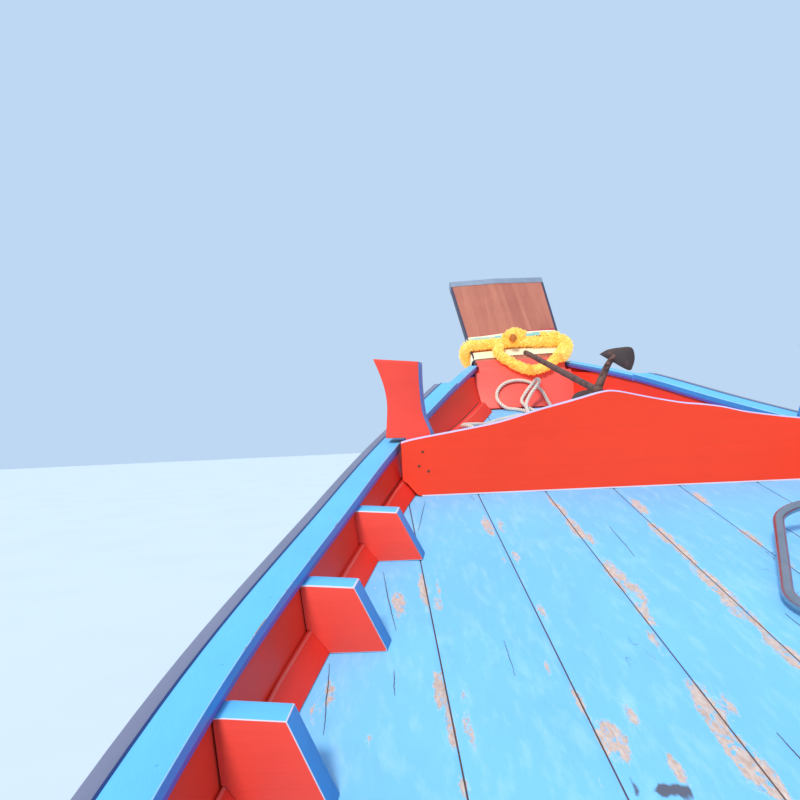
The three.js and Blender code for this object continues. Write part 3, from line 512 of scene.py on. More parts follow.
def painted(name, colour, grain, chips, fade=0.06, under=BARE, rough=0.42, stain=0.0):
    """Brush-painted wood: brush lines along the grain, a mottled tone, and chips down to the wood."""
    f = Finish(name)
    brush = f.noise(340, ALONG[grain], 3, 0.6)
    mottled = f.noise(3.2, EVEN, 5, 0.6)
    fine = f.noise(46, ALONG[grain], 4, 0.65)
    tone = f.mix(f.band(mottled, 0.3, 0.7), shade(colour, 1 - fade), shade(colour, 1 + fade))
    tone = f.tint(tone, fine, 0.35, 0.75, shade(colour, 0.86), 0.35)
    tone = f.tint(tone, brush, 0.4, 0.7, shade(colour, 1.25), 0.10)
    if stain:
        run = f.noise(9, ALONG["z"], 4, 0.6)
        tone = f.tint(tone, run, 0.55, 0.8, srgb(120, 96, 80), stain)
    spots = f.noise(26, ALONG[grain] if grain != "y" else (1, 0.3, 1), 6, 0.7)
    place = f.noise(1.7, EVEN, 2, 0.5)
    bare = f.band(f.add(spots, f.times(place, 0.22)), chips + 0.11, chips + 0.125)
    wood = f.mix(f.noise(120, ALONG[grain], 4, 0.7), shade(under, 0.7), under)
    colour_all = f.mix(bare, tone, wood)
    height = f.less(f.times(brush, 0.5), f.times(bare, 0.6))
    height = f.add(height, f.times(fine, 0.8))
    return f.out(
        colour_all, f.mix(bare, (rough,) * 3 + (1,), (0.85,) * 3 + (1,)),
        f.bump(height, 0.0012, 0.55), Specular_IOR_Level=0.25,
    )


def deck_paint(name, colour):
    """The foredeck's pale blue paint: worn through where the mesh says, with cracks along the grain."""
    f = Finish(name)
    worn = f.attribute("wear")
    dark = f.attribute("crack")
    brush = f.noise(300, ALONG["y"], 3, 0.6)
    fine = f.noise(38, (1, 0.12, 1), 5, 0.65)
    cloud = f.noise(2.6, (1, 0.6, 1), 5, 0.6)
    tone = f.mix(f.band(cloud, 0.3, 0.72), shade(colour, 0.93), shade(colour, 1.05))
    tone = f.tint(tone, fine, 0.5, 0.78, srgb(196, 230, 246), 0.34)
    scrub = f.noise(14, (1, 0.45, 1), 6, 0.7, bent=0.6)
    tone = f.tint(tone, scrub, 0.56, 0.75, srgb(120, 176, 214), 0.35)
    edge = f.noise(78, (1, 0.22, 1), 7, 0.76)
    level = f.add(worn, f.times(f.less(edge, 0.5), 1.7))
    bare = f.band(level, 0.50, 0.56)
    rim = f.band(level, 0.40, 0.50)
    streak = f.noise(210, (1, 0.06, 1), 4, 0.7)
    wood = f.mix(f.band(streak, 0.3, 0.7), srgb(192, 160, 146), srgb(222, 204, 194))
    wood = f.tint(wood, f.noise(34, (1, 0.3, 1), 4, 0.7), 0.55, 0.75, srgb(166, 138, 126), 0.6)
    flecks = f.band(f.noise(95, (1, 0.35, 1), 4, 0.75), 0.56, 0.60)
    wood = f.mix(flecks, wood, shade(colour, 0.96))
    tone = f.mix(f.times(rim, 0.55), tone, srgb(196, 226, 240))
    tone = f.mix(bare, tone, wood)
    lines = f.noise(30, (1, 0.018, 1), 2, 0.4, bent=0.15)
    hair = f.less(1.0, f.band(f.math("ABSOLUTE", f.less(lines, 0.5)), 0.0015, 0.006))
    gate = f.band(f.noise(5, (1, 0.25, 1), 3, 0.6), 0.60, 0.66)
    hair = f.times(hair, gate)
    cracked = f.math("MAXIMUM", f.band(f.add(dark, f.times(edge, 0.5)), 0.62, 0.75), hair)
    tone = f.mix(f.times(cracked, 0.85), tone, srgb(92, 66, 60))
    height = f.less(f.times(brush, 0.25), f.times(bare, 0.7))
    height = f.less(height, f.times(cracked, 1.2))
    height = f.add(height, f.times(fine, 0.5))
    grey = f.mix(bare, (0.6,) * 3 + (1,), (0.9,) * 3 + (1,))
    return f.out(tone, grey, f.bump(height, 0.0014, 0.6), Specular_IOR_Level=0.2)


def bare_wood(name, colour, dark, grain, rough):
    """Varnished or weathered wood with growth rings along the grain."""
    f = Finish(name)
    wander = f.noise(3, EVEN, 3, 0.5)
    rings = f.noise(21, ALONG[grain], 3, 0.5, bent=0.8)
    streak = f.noise(300, ALONG[grain], 4, 0.7)
    tone = f.mix(f.band(rings, 0.35, 0.65), dark, colour)
    tone = f.tint(tone, streak, 0.35, 0.8, shade(dark, 0.8), 0.5)
    tone = f.tint(tone, wander, 0.4, 0.7, shade(colour, 1.18), 0.4)
    height = f.add(f.times(streak, 0.7), rings)
    return f.out(tone, f.band(streak, 0.3, 0.7, rough - 0.08, rough + 0.1), f.bump(height, 0.0012, 0.5))


def metal(name, colour, rough, metallic, rust, pits=0.0, rust_colour=None):
    """Metal with a fine finish, and rust or dirt in patches where asked."""
    f = Finish(name)
    rusty = rust_colour or srgb(122, 72, 44)
    fine = f.noise(420, EVEN, 3, 0.6)
    cloud = f.noise(14, EVEN, 5, 0.65)
    tone = f.mix(f.band(cloud, 0.35, 0.7), shade(colour, 0.88), shade(colour, 1.08))
    patch = f.noise(32, EVEN, 6, 0.7)
    amount = f.band(f.add(patch, f.times(cloud, 0.35)), 0.92 - rust, 1.0 - rust)
    speck = f.mix(f.noise(160, EVEN, 3, 0.7), shade(rusty, 0.55), shade(rusty, 1.3))
    tone = f.mix(amount, tone, speck)
    clean = f.band(cloud, 0.3, 0.7, rough - 0.05, rough + 0.08)
    shine = f.add(clean, f.times(amount, 0.5), True)
    height = f.add(f.times(fine, 0.15 + pits), f.times(amount, 0.6))
    bright = f.less(metallic, f.times(amount, metallic))
    f.feed(f.shader.inputs["Metallic"], bright)
    return f.out(tone, shine, f.bump(height, 0.0008, 0.5))


def fibre(name, colour, dark, scale=900.0, lit=0.0, groove_shade=False, painted_glow=None):
    """Rope, yarn or petals: a fine fibrous surface with a mottled tone."""
    f = Finish(name)
    hair = f.noise(scale, EVEN, 3, 0.7)
    cloud = f.noise(24, EVEN, 4, 0.6)
    tone = f.mix(f.band(cloud, 0.3, 0.72), dark, colour)
    tone = f.tint(tone, hair, 0.3, 0.7, shade(dark, 0.72), 0.5)
    if groove_shade:
        # painted shade: darker in the grooves between the strands
        tone = f.tint(tone, f.attribute("groove"), 0.35, 0.95, srgb(150, 124, 104), 0.75)
    constants = {"Sheen_Weight": 0.3}
    if lit:
        constants.update(Subsurface_Weight=lit, Subsurface_Radius=(0.02, 0.014, 0.006), Subsurface_Scale=1.0)
    # emission here is painted light: it brightens petals that shade each other
    if painted_glow:
        constants.update(Emission_Color=painted_glow, Emission_Strength=0.3)
    return f.out(tone, 0.9, f.bump(hair, 0.0006, 0.7), **constants)


def woven(name, colour, thread, soil):
    """Cloth with a plain weave, faded and soiled in clouds."""
    f = Finish(name)
    waves = [
        f.node("TexWave", {"Vector": f.place, "Scale": 1 / thread / 3.18, "Distortion": 0.6, "Detail": 1.0},
               bands_direction=way).outputs["Fac"]
        for way in ("X", "Y")
    ]
    weave = f.times(waves[0], waves[1])
    cloud = f.noise(2.4, EVEN, 5, 0.6)
    fold = f.noise(12, EVEN, 4, 0.6)
    tone = f.mix(f.band(cloud, 0.35, 0.7), shade(colour, 0.9), colour)
    tone = f.tint(tone, fold, 0.5, 0.8, srgb(150, 140, 120), soil)
    tone = f.mix(f.band(weave, 0.1, 0.6, 0.14, 0), tone, shade(colour, 0.6))
    return f.out(tone, 0.88, f.bump(weave, 0.0004, 0.5), Sheen_Weight=0.25)


def plastic(name, colour, rough, soil):
    """Moulded plastic, rubber or sprayed enamel with a slight orange peel and grime."""
    f = Finish(name)
    peel = f.noise(260, EVEN, 2, 0.5)
    grime = f.noise(11, EVEN, 6, 0.7)
    tone = f.mix(f.band(grime, 0.5, 0.78, 0, soil), colour, srgb(74, 62, 54))
    fade = f.noise(3, EVEN, 3, 0.5)
    tone = f.tint(tone, fade, 0.4, 0.7, shade(colour, 1.3), 0.25)
    return f.out(tone, f.band(grime, 0.4, 0.8, rough, rough + 0.3), f.bump(peel, 0.0005, 0.35))


BLUE, GREY = srgb(104, 190, 244), srgb(124, 126, 150)
MAT = {
    "deck": deck_paint("deck_blue", srgb(126, 196, 243)),
    "blue": painted("rail_blue", BLUE, "y", 0.70),
    # a darker copy of the rail blue: painted shade for faces turned inboard, away from the light
    "blue_side": painted("blue_in_shade", srgb(70, 142, 208), "y", 0.70),
    "blue_across": painted("blue_across", BLUE, "x", 0.70),
    "edge_blue": painted("blue_edge", srgb(168, 214, 238), "y", 0.60),
    "red": painted("plank_red", srgb(244, 58, 44), "y", 0.74),
    "red_face": painted("knee_red", srgb(252, 78, 62), "x", 0.76),
    "red_beam": painted("beam_red", srgb(252, 68, 38), "x", 0.78, 0.05),
    # a paler copy of the red: painted light on the apron, which leans to face up towards the light
    "red_apron": painted("apron_red_painted_light", srgb(252, 96, 84), "x", 0.78, 0.05),
    # blue edge paint on the beam's top, drawn pale lavender: painted light from the sky
    "beam_top": painted("beam_edge_painted_light", srgb(204, 190, 226), "x", 0.72),
    "edge_red": painted("red_edge", srgb(240, 100, 88), "y", 0.66),
    # painted shade with a painted reflection of the red planking, for the cap rail's inboard lower half
    "violet": painted("violet_shade_and_reflection", srgb(104, 92, 176), "y", 0.72),
    "chalk": painted("pale_edge", srgb(226, 214, 224), "x", 0.70),
    "navy": painted("navy_line", srgb(28, 54, 112), "y", 0.72),
    "caulk": painted("dark_caulk", srgb(96, 74, 72), "y", 0.80, rough=0.8),
    # dark bluish painted shade for the prow board's side edges
    "prow_edge": painted("prow_edge", srgb(66, 62, 84), "y", 0.76),
    "grey": painted("strip_grey", GREY, "y", 0.68, under=srgb(150, 140, 140)),
    "inside": painted("inner_red", srgb(255, 60, 40), "y", 0.72, stain=0.12),
    "hull_blue": painted("hull_blue", srgb(44, 112, 186), "y", 0.70, stain=0.2, rough=0.35),
    "hull_white": painted("hull_white", srgb(232, 232, 224), "y", 0.70, stain=0.25, rough=0.35),
    "hull_red": painted("hull_red", srgb(206, 46, 38), "y", 0.70, stain=0.2, rough=0.35),
    "hull_low": painted("hull_low", srgb(110, 52, 44), "y", 0.66, stain=0.3, rough=0.6),
    "prow": bare_wood("prow_wood", srgb(194, 118, 92), srgb(168, 92, 72), "v", 0.5),
    "lead": metal("sheet_metal", srgb(172, 180, 194), 0.42, 0.8, 0.02),
    "steel": metal("tube_steel", srgb(172, 174, 180), 0.26, 1.0, 0.0, pits=0.1),
    "galvanised": metal("galvanised", srgb(166, 170, 172), 0.45, 0.9, 0.06),
    "rust": metal("rusty_iron", srgb(84, 70, 68), 0.62, 0.45, 0.16, pits=1.2, rust_colour=srgb(134, 90, 76)),
    "shank": metal("rusty_bar", srgb(118, 84, 74), 0.65, 0.3, 0.22, pits=1.6, rust_colour=srgb(70, 50, 48)),
    "iron": metal("dark_iron", srgb(62, 64, 68), 0.5, 0.7, 0.10, pits=0.5),
    "cast": metal("cast_metal", srgb(138, 140, 140), 0.5, 0.8, 0.06, pits=1.0),
    "bronze": metal("propeller_bronze", srgb(186, 146, 78), 0.32, 1.0, 0.04, rust_colour=srgb(96, 112, 84)),
    "pipe": metal("exhaust_rust", srgb(112, 78, 60), 0.75, 0.4, 0.3, pits=0.8),
    "engine": plastic("engine_enamel", srgb(52, 112, 70), 0.4, 0.5),
    "rubber": plastic("rubber", srgb(34, 34, 36), 0.6, 0.3),
    "tank": plastic("tank_plastic", srgb(206, 52, 32), 0.45, 0.25),
    "rope": fibre("rope_fibre", srgb(250, 242, 228), srgb(228, 214, 194), groove_shade=True),
    # the garland glows faintly: painted light
    "garland": fibre("garland_yellow", srgb(255, 236, 140), srgb(254, 206, 84), 700, 0.6,
                     painted_glow=srgb(255, 190, 70)),
    "flower": fibre("garland_orange", srgb(252, 160, 50), srgb(240, 124, 40), 700, lit=0.4),
    "cream": woven("ribbon_cream", srgb(250, 240, 204), 0.0009, 0.1),
    "teal": woven("ribbon_teal", srgb(140, 200, 190), 0.0009, 0.1),
    "crimson": woven("ribbon_crimson", srgb(190, 44, 66), 0.0009, 0.1),
    "canvas": woven("canopy_canvas", srgb(232, 226, 208), 0.0016, 0.3),
    "trim": woven("canopy_trim", srgb(52, 104, 176), 0.0016, 0.2),
}


# The mooring rope, along the same route as in the CAD model
ROPE_RADIUS = 0.008
OFF_DECK, OFF_APRON = 0.0012, 0.0019
COIL = Vector((-0.190, 4.115, 0))
DECK_NORMAL = Vector((0, -DECK_SLOPE, 1)).normalized()
DECK_AHEAD = Vector((0, 1, DECK_SLOPE)).normalized()


def on_deck(x, y, lift=0.0):
    return Vector((x, y, deck_z(y) + ROPE_RADIUS + OFF_DECK + lift))


def on_apron(x, z, lift=0.0):
    return Vector((x, apron_y(z) - ROPE_RADIUS - OFF_APRON - lift, z))


ROPE_ROUTE = [
    Vector((0.016, 3.716, 1.438)), Vector((0.016, 3.718, 1.390)), Vector((0.010, 3.728, 1.305)),
    on_deck(-0.014, 3.760, 0.024), on_deck(-0.105, 3.826, 0.002), on_deck(-0.195, 3.888, 0.014),
    on_deck(-0.262, 3.968, 0.060), on_deck(-0.318, 4.100, 0.056), on_deck(-0.350, 4.190, 0.056),
    on_deck(-0.368, 4.246, 0.044), on_deck(-0.346, 4.298, 0.036), on_deck(-0.298, 4.346, 0.024),
    on_deck(-0.247, 4.410, 0.008), on_deck(-0.185, 4.492, 0.002), on_deck(-0.100, 4.556, 0.001),
    on_deck(-0.044, 4.588), on_deck(-0.034, 4.640), on_deck(-0.062, 4.686), on_deck(-0.108, 4.712, 0.004),
    on_apron(-0.137, 1.496), on_apron(-0.131, 1.540), on_apron(-0.090, 1.575), on_apron(-0.028, 1.585),
    on_apron(0.030, 1.568), on_apron(0.068, 1.532), on_apron(0.086, 1.486, 0.002),
    on_deck(0.086, 4.690, 0.004), on_deck(0.058, 4.632), on_deck(0.012, 4.624, 0.002),
    on_deck(-0.014, 4.676, 0.006), on_apron(-0.030, 1.484, 0.002), on_apron(-0.010, 1.520, 0.006),
    on_apron(0.020, 1.556, 0.018), on_apron(0.046, 1.584, 0.044), on_apron(0.042, 1.564, 0.084),
    on_apron(0.002, 1.516, 0.070), on_deck(-0.030, 4.650, 0.034), on_deck(-0.042, 4.580, 0.018),
    on_deck(-0.044, 4.480, 0.004), on_deck(-0.044, 4.360), on_deck(-0.050, 4.290), on_deck(-0.0686, 4.2137),
]
COIL_LAYERS = ((0.142, 0.126, 0.110), (0.110, 0.126, 0.142), (0.142, 0.126, 0.110))
STRAND_LAY = 0.050                  # length of rope in which a strand goes once round
ROPE_STEP = 0.0045


def in_coil(radius, angle, height):
    """A point of the coil: angle in degrees from starboard towards the bow, height over the deck."""
    middle = Vector((COIL.x, COIL.y, deck_z(COIL.y) + OFF_DECK))
    turn = math.radians(angle)
    flat = Vector((1, 0, 0)) * math.cos(turn) + DECK_AHEAD * math.sin(turn)
    return middle + flat * radius + DECK_NORMAL * height


def coil_points():
    """Nine turns clockwise, each layer stepping up and then across in the same part of the turn."""
    turns = []
    for k, layer in enumerate(COIL_LAYERS):
        turns += [(radius, ROPE_RADIUS * (2 * k + 1)) for radius in layer]
    landing = ((0.151, 32), (0.145, 22), (0.142, 10))
    points = [in_coil(radius, angle, ROPE_RADIUS) for radius, angle in landing]
    steps_in_turn = 36
    for i, (radius, height) in enumerate(turns):
        last = i + 1 == len(turns)
        next_radius, next_height = (radius - 2 * ROPE_RADIUS, height) if last else turns[i + 1]
        for k in range(steps_in_turn):
            part = k / steps_in_turn
            up = min(1, max(0, (part - 0.64) / 0.14))
            out = min(1, max(0, (part - 0.78) / 0.10))
            up, out = (s * s * (3 - 2 * s) for s in (up, out))
            points.append(in_coil(
                radius + (next_radius - radius) * out, -360 * part, height + (next_height - height) * up,
            ))
    for angle, radius, height in (
        (0, 0.094, 0.0395), (-12, 0.094, 0.038), (-26, 0.0935, 0.035), (-42, 0.092, 0.031),
        (-60, 0.090, 0.025), (-80, 0.088, 0.0185), (-104, 0.085, 0.0125), (-130, 0.082, 0.0098),
        (-160, 0.079, 0.0092),
        (-195, 0.077, 0.0092), (-230, 0.075, 0.0092), (-265, 0.074, 0.010), (-295, 0.073, 0.012),
        (-320, 0.072, 0.014), (-342, 0.071, 0.016),
    ):
        points.append(in_coil(radius, angle, height))
    return points


def laid_rope(path):
    """Three strands twisted together, as one skin."""
    path = evenly(path, ROPE_STEP)
    walked = [0.0]
    for a, b in zip(path, path[1:]):
        walked.append(walked[-1] + (b - a).length)

    def strands(i, angle):
        turned = 3 * (angle - walked[i] / STRAND_LAY * math.tau)
        return 0.78 + 0.24 * abs(math.cos(turned / 2)) ** 0.7

    sides = 18
    # how deep in a groove each point lies, for the painted shade between the strands
    groove_shade = [
        1 - abs(math.cos(1.5 * (k / sides * math.tau - far / STRAND_LAY * math.tau)))
        for far in walked for k in range(sides)
    ]
    return tube(path, ROPE_RADIUS, sides, section=strands), path, walked[-1], groove_shade


def make_end_knot():
    """A closed overhand loop of the same rope."""
    middle = in_coil(0.071, 0, 0.0195)
    flat, tall = 0.0040, 0.0066
    loop = []
    for k in range(60):
        t = k / 60 * math.tau
        loop.append(middle + Vector((
            (math.sin(t) + 2 * math.sin(2 * t)) * flat,
            (math.cos(t) - 2 * math.cos(2 * t)) * flat,
            -math.sin(3 * t) * tall,
        )))
    verts, faces = tube(loop, 0.0072, 14, joined=True,
                        section=lambda i, a: 0.9 + 0.1 * math.cos(3 * a - i * 0.6))
    return piece("rope_end_knot", verts, faces, "rope",
                 slot="rope_fibre", smooth=60, replaces=("rope_knot",))


def make_rope():
    route = catmull(ROPE_ROUTE, 16)
    wound = catmull([ROPE_ROUTE[-1]] + coil_points(), 4)[1:]
    (verts, faces), path, length, groove_shade = laid_rope(route + wound)
    rope = piece("mooring_rope_laid", verts, faces, "rope", slot="rope_fibre", smooth=60,
                 replaces=("mooring_rope", "rope_coil"))
    rope.data.attributes.new("groove", "FLOAT", "POINT").data.foreach_set("value", groove_shade)
    knot = make_end_knot()


# The hull
def outer_half(y):
    """One side of a section, with a narrow groove between each two strakes."""
    corners = half_section(skin_half(y), keel_z(y), top_z(y), line(FULLNESS, y))
    groove, deep = 0.003, 0.0025
    found = [corners[0]]
    for i in range(len(corners) - 1):
        (x0, z0), (x1, z1) = corners[i], corners[i + 1]
        long = math.hypot(x1 - x0, z1 - z0)
        along = ((x1 - x0) / long, (z1 - z0) / long)
        edge = min(groove, long * 0.2)
        if i:
            found.append((x0 - deep * along[1], z0 + deep * along[0]))
            found.append((x0 + edge * along[0], z0 + edge * along[1]))
        last = i + 2 == len(corners)
        found.append((x1, z1) if last else (x1 - edge * along[0], z1 - edge * along[1]))
    return found


def inner_half(y):
    return half_section(inner(y) + RAIL_OVERHANG, keel_z(y) + KEEL_FLOOR, sheer(y), line(FULLNESS, y))


def hull_ring(y):
    """Outside from port sheer under the keel to starboard, then back along the inside."""
    out = outer_half(y)
    ring = [Vector((-x, y, z)) for x, z in out[:0:-1]] + [Vector((x, y, z)) for x, z in out]
    if y <= INSIDE_END + 1e-6:
        half = inner_half(y)
        inside = [Vector((x, y, z)) for x, z in half[::-1]] + [Vector((-x, y, z)) for x, z in half[1:]]
        if y > INSIDE_END - 1e-6:
            for p in inside:
                leaning = apron_y(p.z) + APRON_THICK
                p.x *= (inner(leaning) + RAIL_OVERHANG) / (inner(y) + RAIL_OVERHANG)
                p.y = leaning
    else:
        count = 2 * HALF_POINTS - 1
        edge = skin_half(y)
        inside = [Vector((edge - (k + 1) * 2 * edge / (count + 1), y, top_z(y))) for k in range(count)]
    return ring + inside


def make_hull():
    stations = spread(STERN, 1.5, 30) + spread(1.5, 4.412, 36)[1:] + [4.5, 4.58, 4.66, INSIDE_END]
    stations += [4.868, PROW_BACK.y] + spread(PROW_BACK.y, PROW_END, 8)[1:] + [5.48, STEM_TIP]
    rings = [hull_ring(y) for y in stations]
    verts, faces = loft(rings)
    outside = len(outer_half(0)) * 2 - 1
    count = len(rings[0])
    strakes = HALF_POINTS - 1
    low_paint, inside_paint = 3, 4      # places in the list of paints, and the top strakes have 0 to 2
    index = []
    for face in faces:
        j = min(face[0] % count, face[1] % count)
        if len(face) > 4 or j >= outside - 1:
            index.append(inside_paint)
        else:
            across = abs(j + 0.5 - (outside - 1) / 2)
            strake = min(strakes - 1, int(across / 3))
            index.append(min(low_paint, strakes - 1 - strake))
    piece("hull_planking", verts, faces, "hull_blue hull_white hull_red hull_low inside",
          slot="hull_paint", replaces=("hull_shell",), smooth=20, index=index)
    keel = []
    for y in spread(-4.6, 5.44, 60):
        low, high, half = keel_z(y) - keel_deep(y), keel_z(y) + 0.03, KEEL_HALF
        keel.append([Vector((x, y, z)) for x, z in (
            (-half, high), (-half, low + 0.006), (-half + 0.006, low), (half - 0.006, low),
            (half, low + 0.006), (half, high),
        )])
    piece("keel_timber", *loft(keel), "hull_low", slot="hull_paint", replaces=("keel",), smooth=40)
    refined("transom", "transom_board", 0.003, "inside edge_red")


DECK_SEAMS = [-1.4, -1.16, -0.93, -0.627, -0.413, -0.210, -0.006, 0.190, 0.420, 0.640, 0.860, 1.06, 1.4]
# Where the foredeck's paint is worn through: x, y, half-width, half-length, strength
WEAR = [
    (-0.634, 2.985, 0.011, 0.055, 1.0), (-0.606, 2.925, 0.010, 0.040, 0.9),
    (-0.600, 2.990, 0.006, 0.060, 0.7), (-0.638, 2.607, 0.012, 0.045, 1.0),
    (-0.632, 2.515, 0.009, 0.050, 0.9), (-0.604, 2.500, 0.008, 0.055, 0.9),
    (-0.597, 2.593, 0.008, 0.024, 0.9), (-0.690, 2.925, 0.016, 0.050, 1.0),
    (-0.826, 2.618, 0.012, 0.045, 0.9), (-0.851, 2.561, 0.009, 0.035, 0.8),
    (-0.761, 2.481, 0.011, 0.012, 0.9), (-0.431, 3.348, 0.014, 0.055, 1.0),
    (-0.394, 3.344, 0.011, 0.045, 0.8), (-0.214, 3.504, 0.010, 0.050, 0.9),
    (-0.631, 2.379, 0.010, 0.020, 0.8), (-0.396, 3.135, 0.010, 0.030, 0.9),
    (-0.432, 3.121, 0.008, 0.022, 0.8), (-0.740, 3.000, 0.008, 0.020, 0.6),
    (-0.205, 3.440, 0.014, 0.040, 0.8), (-0.207, 3.308, 0.018, 0.060, 1.0),
    (-0.190, 3.235, 0.013, 0.040, 0.8), (-0.196, 3.017, 0.020, 0.070, 1.0),
    (-0.182, 2.934, 0.015, 0.045, 1.0), (-0.201, 2.847, 0.014, 0.040, 0.9),
    (-0.225, 2.736, 0.012, 0.040, 0.8), (0.012, 3.441, 0.016, 0.055, 1.0),
    (-0.007, 3.244, 0.020, 0.060, 1.0), (-0.004, 3.131, 0.016, 0.050, 1.0),
    (-0.013, 2.956, 0.022, 0.075, 1.0), (-0.026, 2.853, 0.014, 0.040, 0.9),
    (-0.012, 2.792, 0.014, 0.035, 0.9), (-0.020, 2.709, 0.018, 0.035, 1.0),
    (-0.012, 2.660, 0.022, 0.030, 1.0), (0.202, 3.484, 0.014, 0.050, 0.9),
    (0.190, 3.196, 0.015, 0.045, 0.9), (0.196, 3.05, 0.012, 0.035, 0.7),
    (-0.222, 2.542, 0.020, 0.055, 1.0), (-0.230, 2.486, 0.014, 0.040, 0.9),
    (-0.186, 2.543, 0.010, 0.040, 0.8), (-0.224, 2.415, 0.022, 0.055, 1.1),
    (-0.212, 2.373, 0.018, 0.030, 1.0), (-0.345, 2.518, 0.013, 0.045, 0.8),
    (-0.392, 2.470, 0.022, 0.035, 1.2), (-0.326, 2.398, 0.014, 0.030, 0.9),
    (-0.400, 2.879, 0.008, 0.035, 0.8), (-0.439, 2.655, 0.009, 0.028, 0.8),
    (-0.415, 2.566, 0.008, 0.040, 0.8), (-0.274, 2.448, 0.016, 0.008, 0.7),
    (-0.441, 2.375, 0.007, 0.016, 0.7), (0.430, 3.30, 0.012, 0.040, 0.8),
    (0.640, 2.90, 0.014, 0.050, 0.8), (0.415, 2.40, 0.016, 0.060, 0.9),
    (0.180, 2.35, 0.016, 0.050, 0.9), (0.860, 2.55, 0.014, 0.050, 0.8),
    (-0.210, 1.95, 0.018, 0.060, 0.9), (0.000, 1.75, 0.020, 0.070, 1.0),
    (-0.413, 1.60, 0.014, 0.060, 0.9), (0.420, 1.70, 0.018, 0.060, 0.9),
    (-0.627, 1.90, 0.012, 0.060, 0.9), (0.640, 1.35, 0.016, 0.060, 0.9),
    (0.190, 1.30, 0.020, 0.070, 1.0), (-0.100, 1.15, 0.030, 0.040, 0.9),
    (-0.500, 1.20, 0.016, 0.050, 0.9),
]
# Dark knots and stains in the foredeck: x, y, half-width, half-length, strength
KNOTS = [
    (-0.360, 2.366, 0.016, 0.008, 1.0), (-0.335, 2.352, 0.010, 0.012, 1.0),
    (-0.395, 2.372, 0.006, 0.010, 1.0),
]
# Open cracks along the foredeck's boards: from x, y to x, y, width
CRACKS = [
    (-0.720, 3.081, -0.703, 2.809, 0.0026), (-0.713, 2.673, -0.715, 2.595, 0.0018),
    (-0.830, 2.700, -0.833, 2.499, 0.0022), (-0.577, 3.560, -0.618, 3.326, 0.0018),
    (-0.150, 2.470, -0.146, 2.330, 0.0018), (0.060, 2.820, 0.066, 2.600, 0.0014),
    (0.300, 3.270, 0.304, 3.050, 0.0014), (-0.500, 2.760, -0.503, 2.640, 0.0012),
    (0.520, 2.740, 0.525, 2.460, 0.0016), (-0.120, 3.300, -0.124, 3.110, 0.0012),
    (0.080, 1.760, 0.084, 1.440, 0.0020), (-0.320, 1.650, -0.326, 1.350, 0.0020),
]


def worn_at(x, y, table):
    """How strongly a table's spots reach a place."""
    narrower, longer, reach, fall = 0.85, 1.25, 2.6, 0.6
    most = 0.0
    for cx, cy, wide, long, strength in table:
        u, v = (x - cx) / (wide * narrower), (y - cy) / (long * longer)
        if abs(u) < reach and abs(v) < reach:
            most = max(most, strength * math.exp(-fall * (u * u + v * v)))
    return most


def plank_set(seams, rows, top, thick, reach, gap, spacing, swell):
    """Boards side by side between seams, each clipped to reach on both sides. Returns each board's mesh."""
    lip, inset, narrowest = 0.0022, 0.003, 0.012        # an edge's rounding down and in, and the least width
    boards = []
    for left, right in zip(seams, seams[1:]):
        columns = max(1, math.ceil((right - left) / spacing))
        rings = []
        for y in rows:
            x0, x1 = max(left + gap / 2, -reach(y)), min(right - gap / 2, reach(y))
            if x1 - x0 < narrowest:
                continue
            ring = [Vector((x0, y, top(y) - thick)), Vector((x0, y, top(y) - lip))]
            for k in range(columns + 1):
                x = x0 + inset + (x1 - x0 - 2 * inset) * k / columns
                cup = swell * (4 * (k / columns) * (1 - k / columns) - 1)
                ring.append(Vector((x, y, top(y) + cup)))
            ring += [Vector((x1, y, top(y) - lip)), Vector((x1, y, top(y) - thick))]
            rings.append(ring)
        if len(rings) > 1:
            boards.append(loft(rings))
    return boards


def deck_strip(points, width, lift, thick):
    """A narrow strip on the foredeck along (x, y) points, thinning to nothing at its ends."""
    rings = []
    for i, (x, y) in enumerate(points):
        half = width / 2 * (0.15 + 0.85 * math.sin(math.pi * (i + 0.3) / (len(points) - 0.4)))
        z = deck_z(y) + lift
        rings.append([Vector((x - half, y, z - thick)), Vector((x + half, y, z - thick)),
                      Vector((x + half, y, z)), Vector((x - half, y, z))])
    return loft(rings)


def make_cracks():
    draw = random.Random(23)
    count, held, jitter = 26, 0.8, 0.0006
    parts = []
    for x0, y0, x1, y1, width in CRACKS:
        wander = 0.0
        points = []
        for k in range(count + 1):
            wander = wander * held + draw.uniform(-jitter, jitter)
            points.append((x0 + (x1 - x0) * k / count + wander, y0 + (y1 - y0) * k / count))
        parts.append(deck_strip(points, width * 0.65, lift=0.0012, thick=0.002))
    piece("foredeck_cracks", *together(parts), "caulk", slot="blue_paint", smooth=30)


def make_caulk():
    """Dark seams between the deck's boards, a little under their tops."""
    half, sunk, deep, clear = 0.0035, 0.0035, 0.022, 0.02
    parts = []
    for x in DECK_SEAMS[1:-1]:
        rings = []
        for y in spread(DECK_AFT + 0.002, DECK_BOW - 0.004, 60):
            if abs(x) >= wall_at(y, deck_z(y)) - clear:
                continue
            top, low = deck_z(y) - sunk, deck_z(y) - deep
            corners = ((-half, low), (half, low), (half, top), (-half, top))
            rings.append([Vector((x + dx, y, z)) for dx, z in corners])
        if len(rings) > 1:
            parts.append(loft(rings))
    piece("foredeck_caulk", *together(parts), "caulk", slot="blue_paint", smooth=30)


def deck_marks(x, y):
    """How worn and how dark the deck is at a place: the tables' spots, and more along the seams."""
    near = min(abs(x - seam) for seam in DECK_SEAMS)
    seam_wear = 0.26 * math.exp(-(near / 0.010) ** 2)
    seam_dark = 0.10 * math.exp(-(near / 0.004) ** 2)
    wander = noise.noise(Vector((x * 3, y * 2.2, 4.1))) * 0.34
    worn = worn_at(x, y, WEAR) + seam_wear * (0.6 + wander) - 0.10
    return worn, worn_at(x, y, KNOTS) + seam_dark


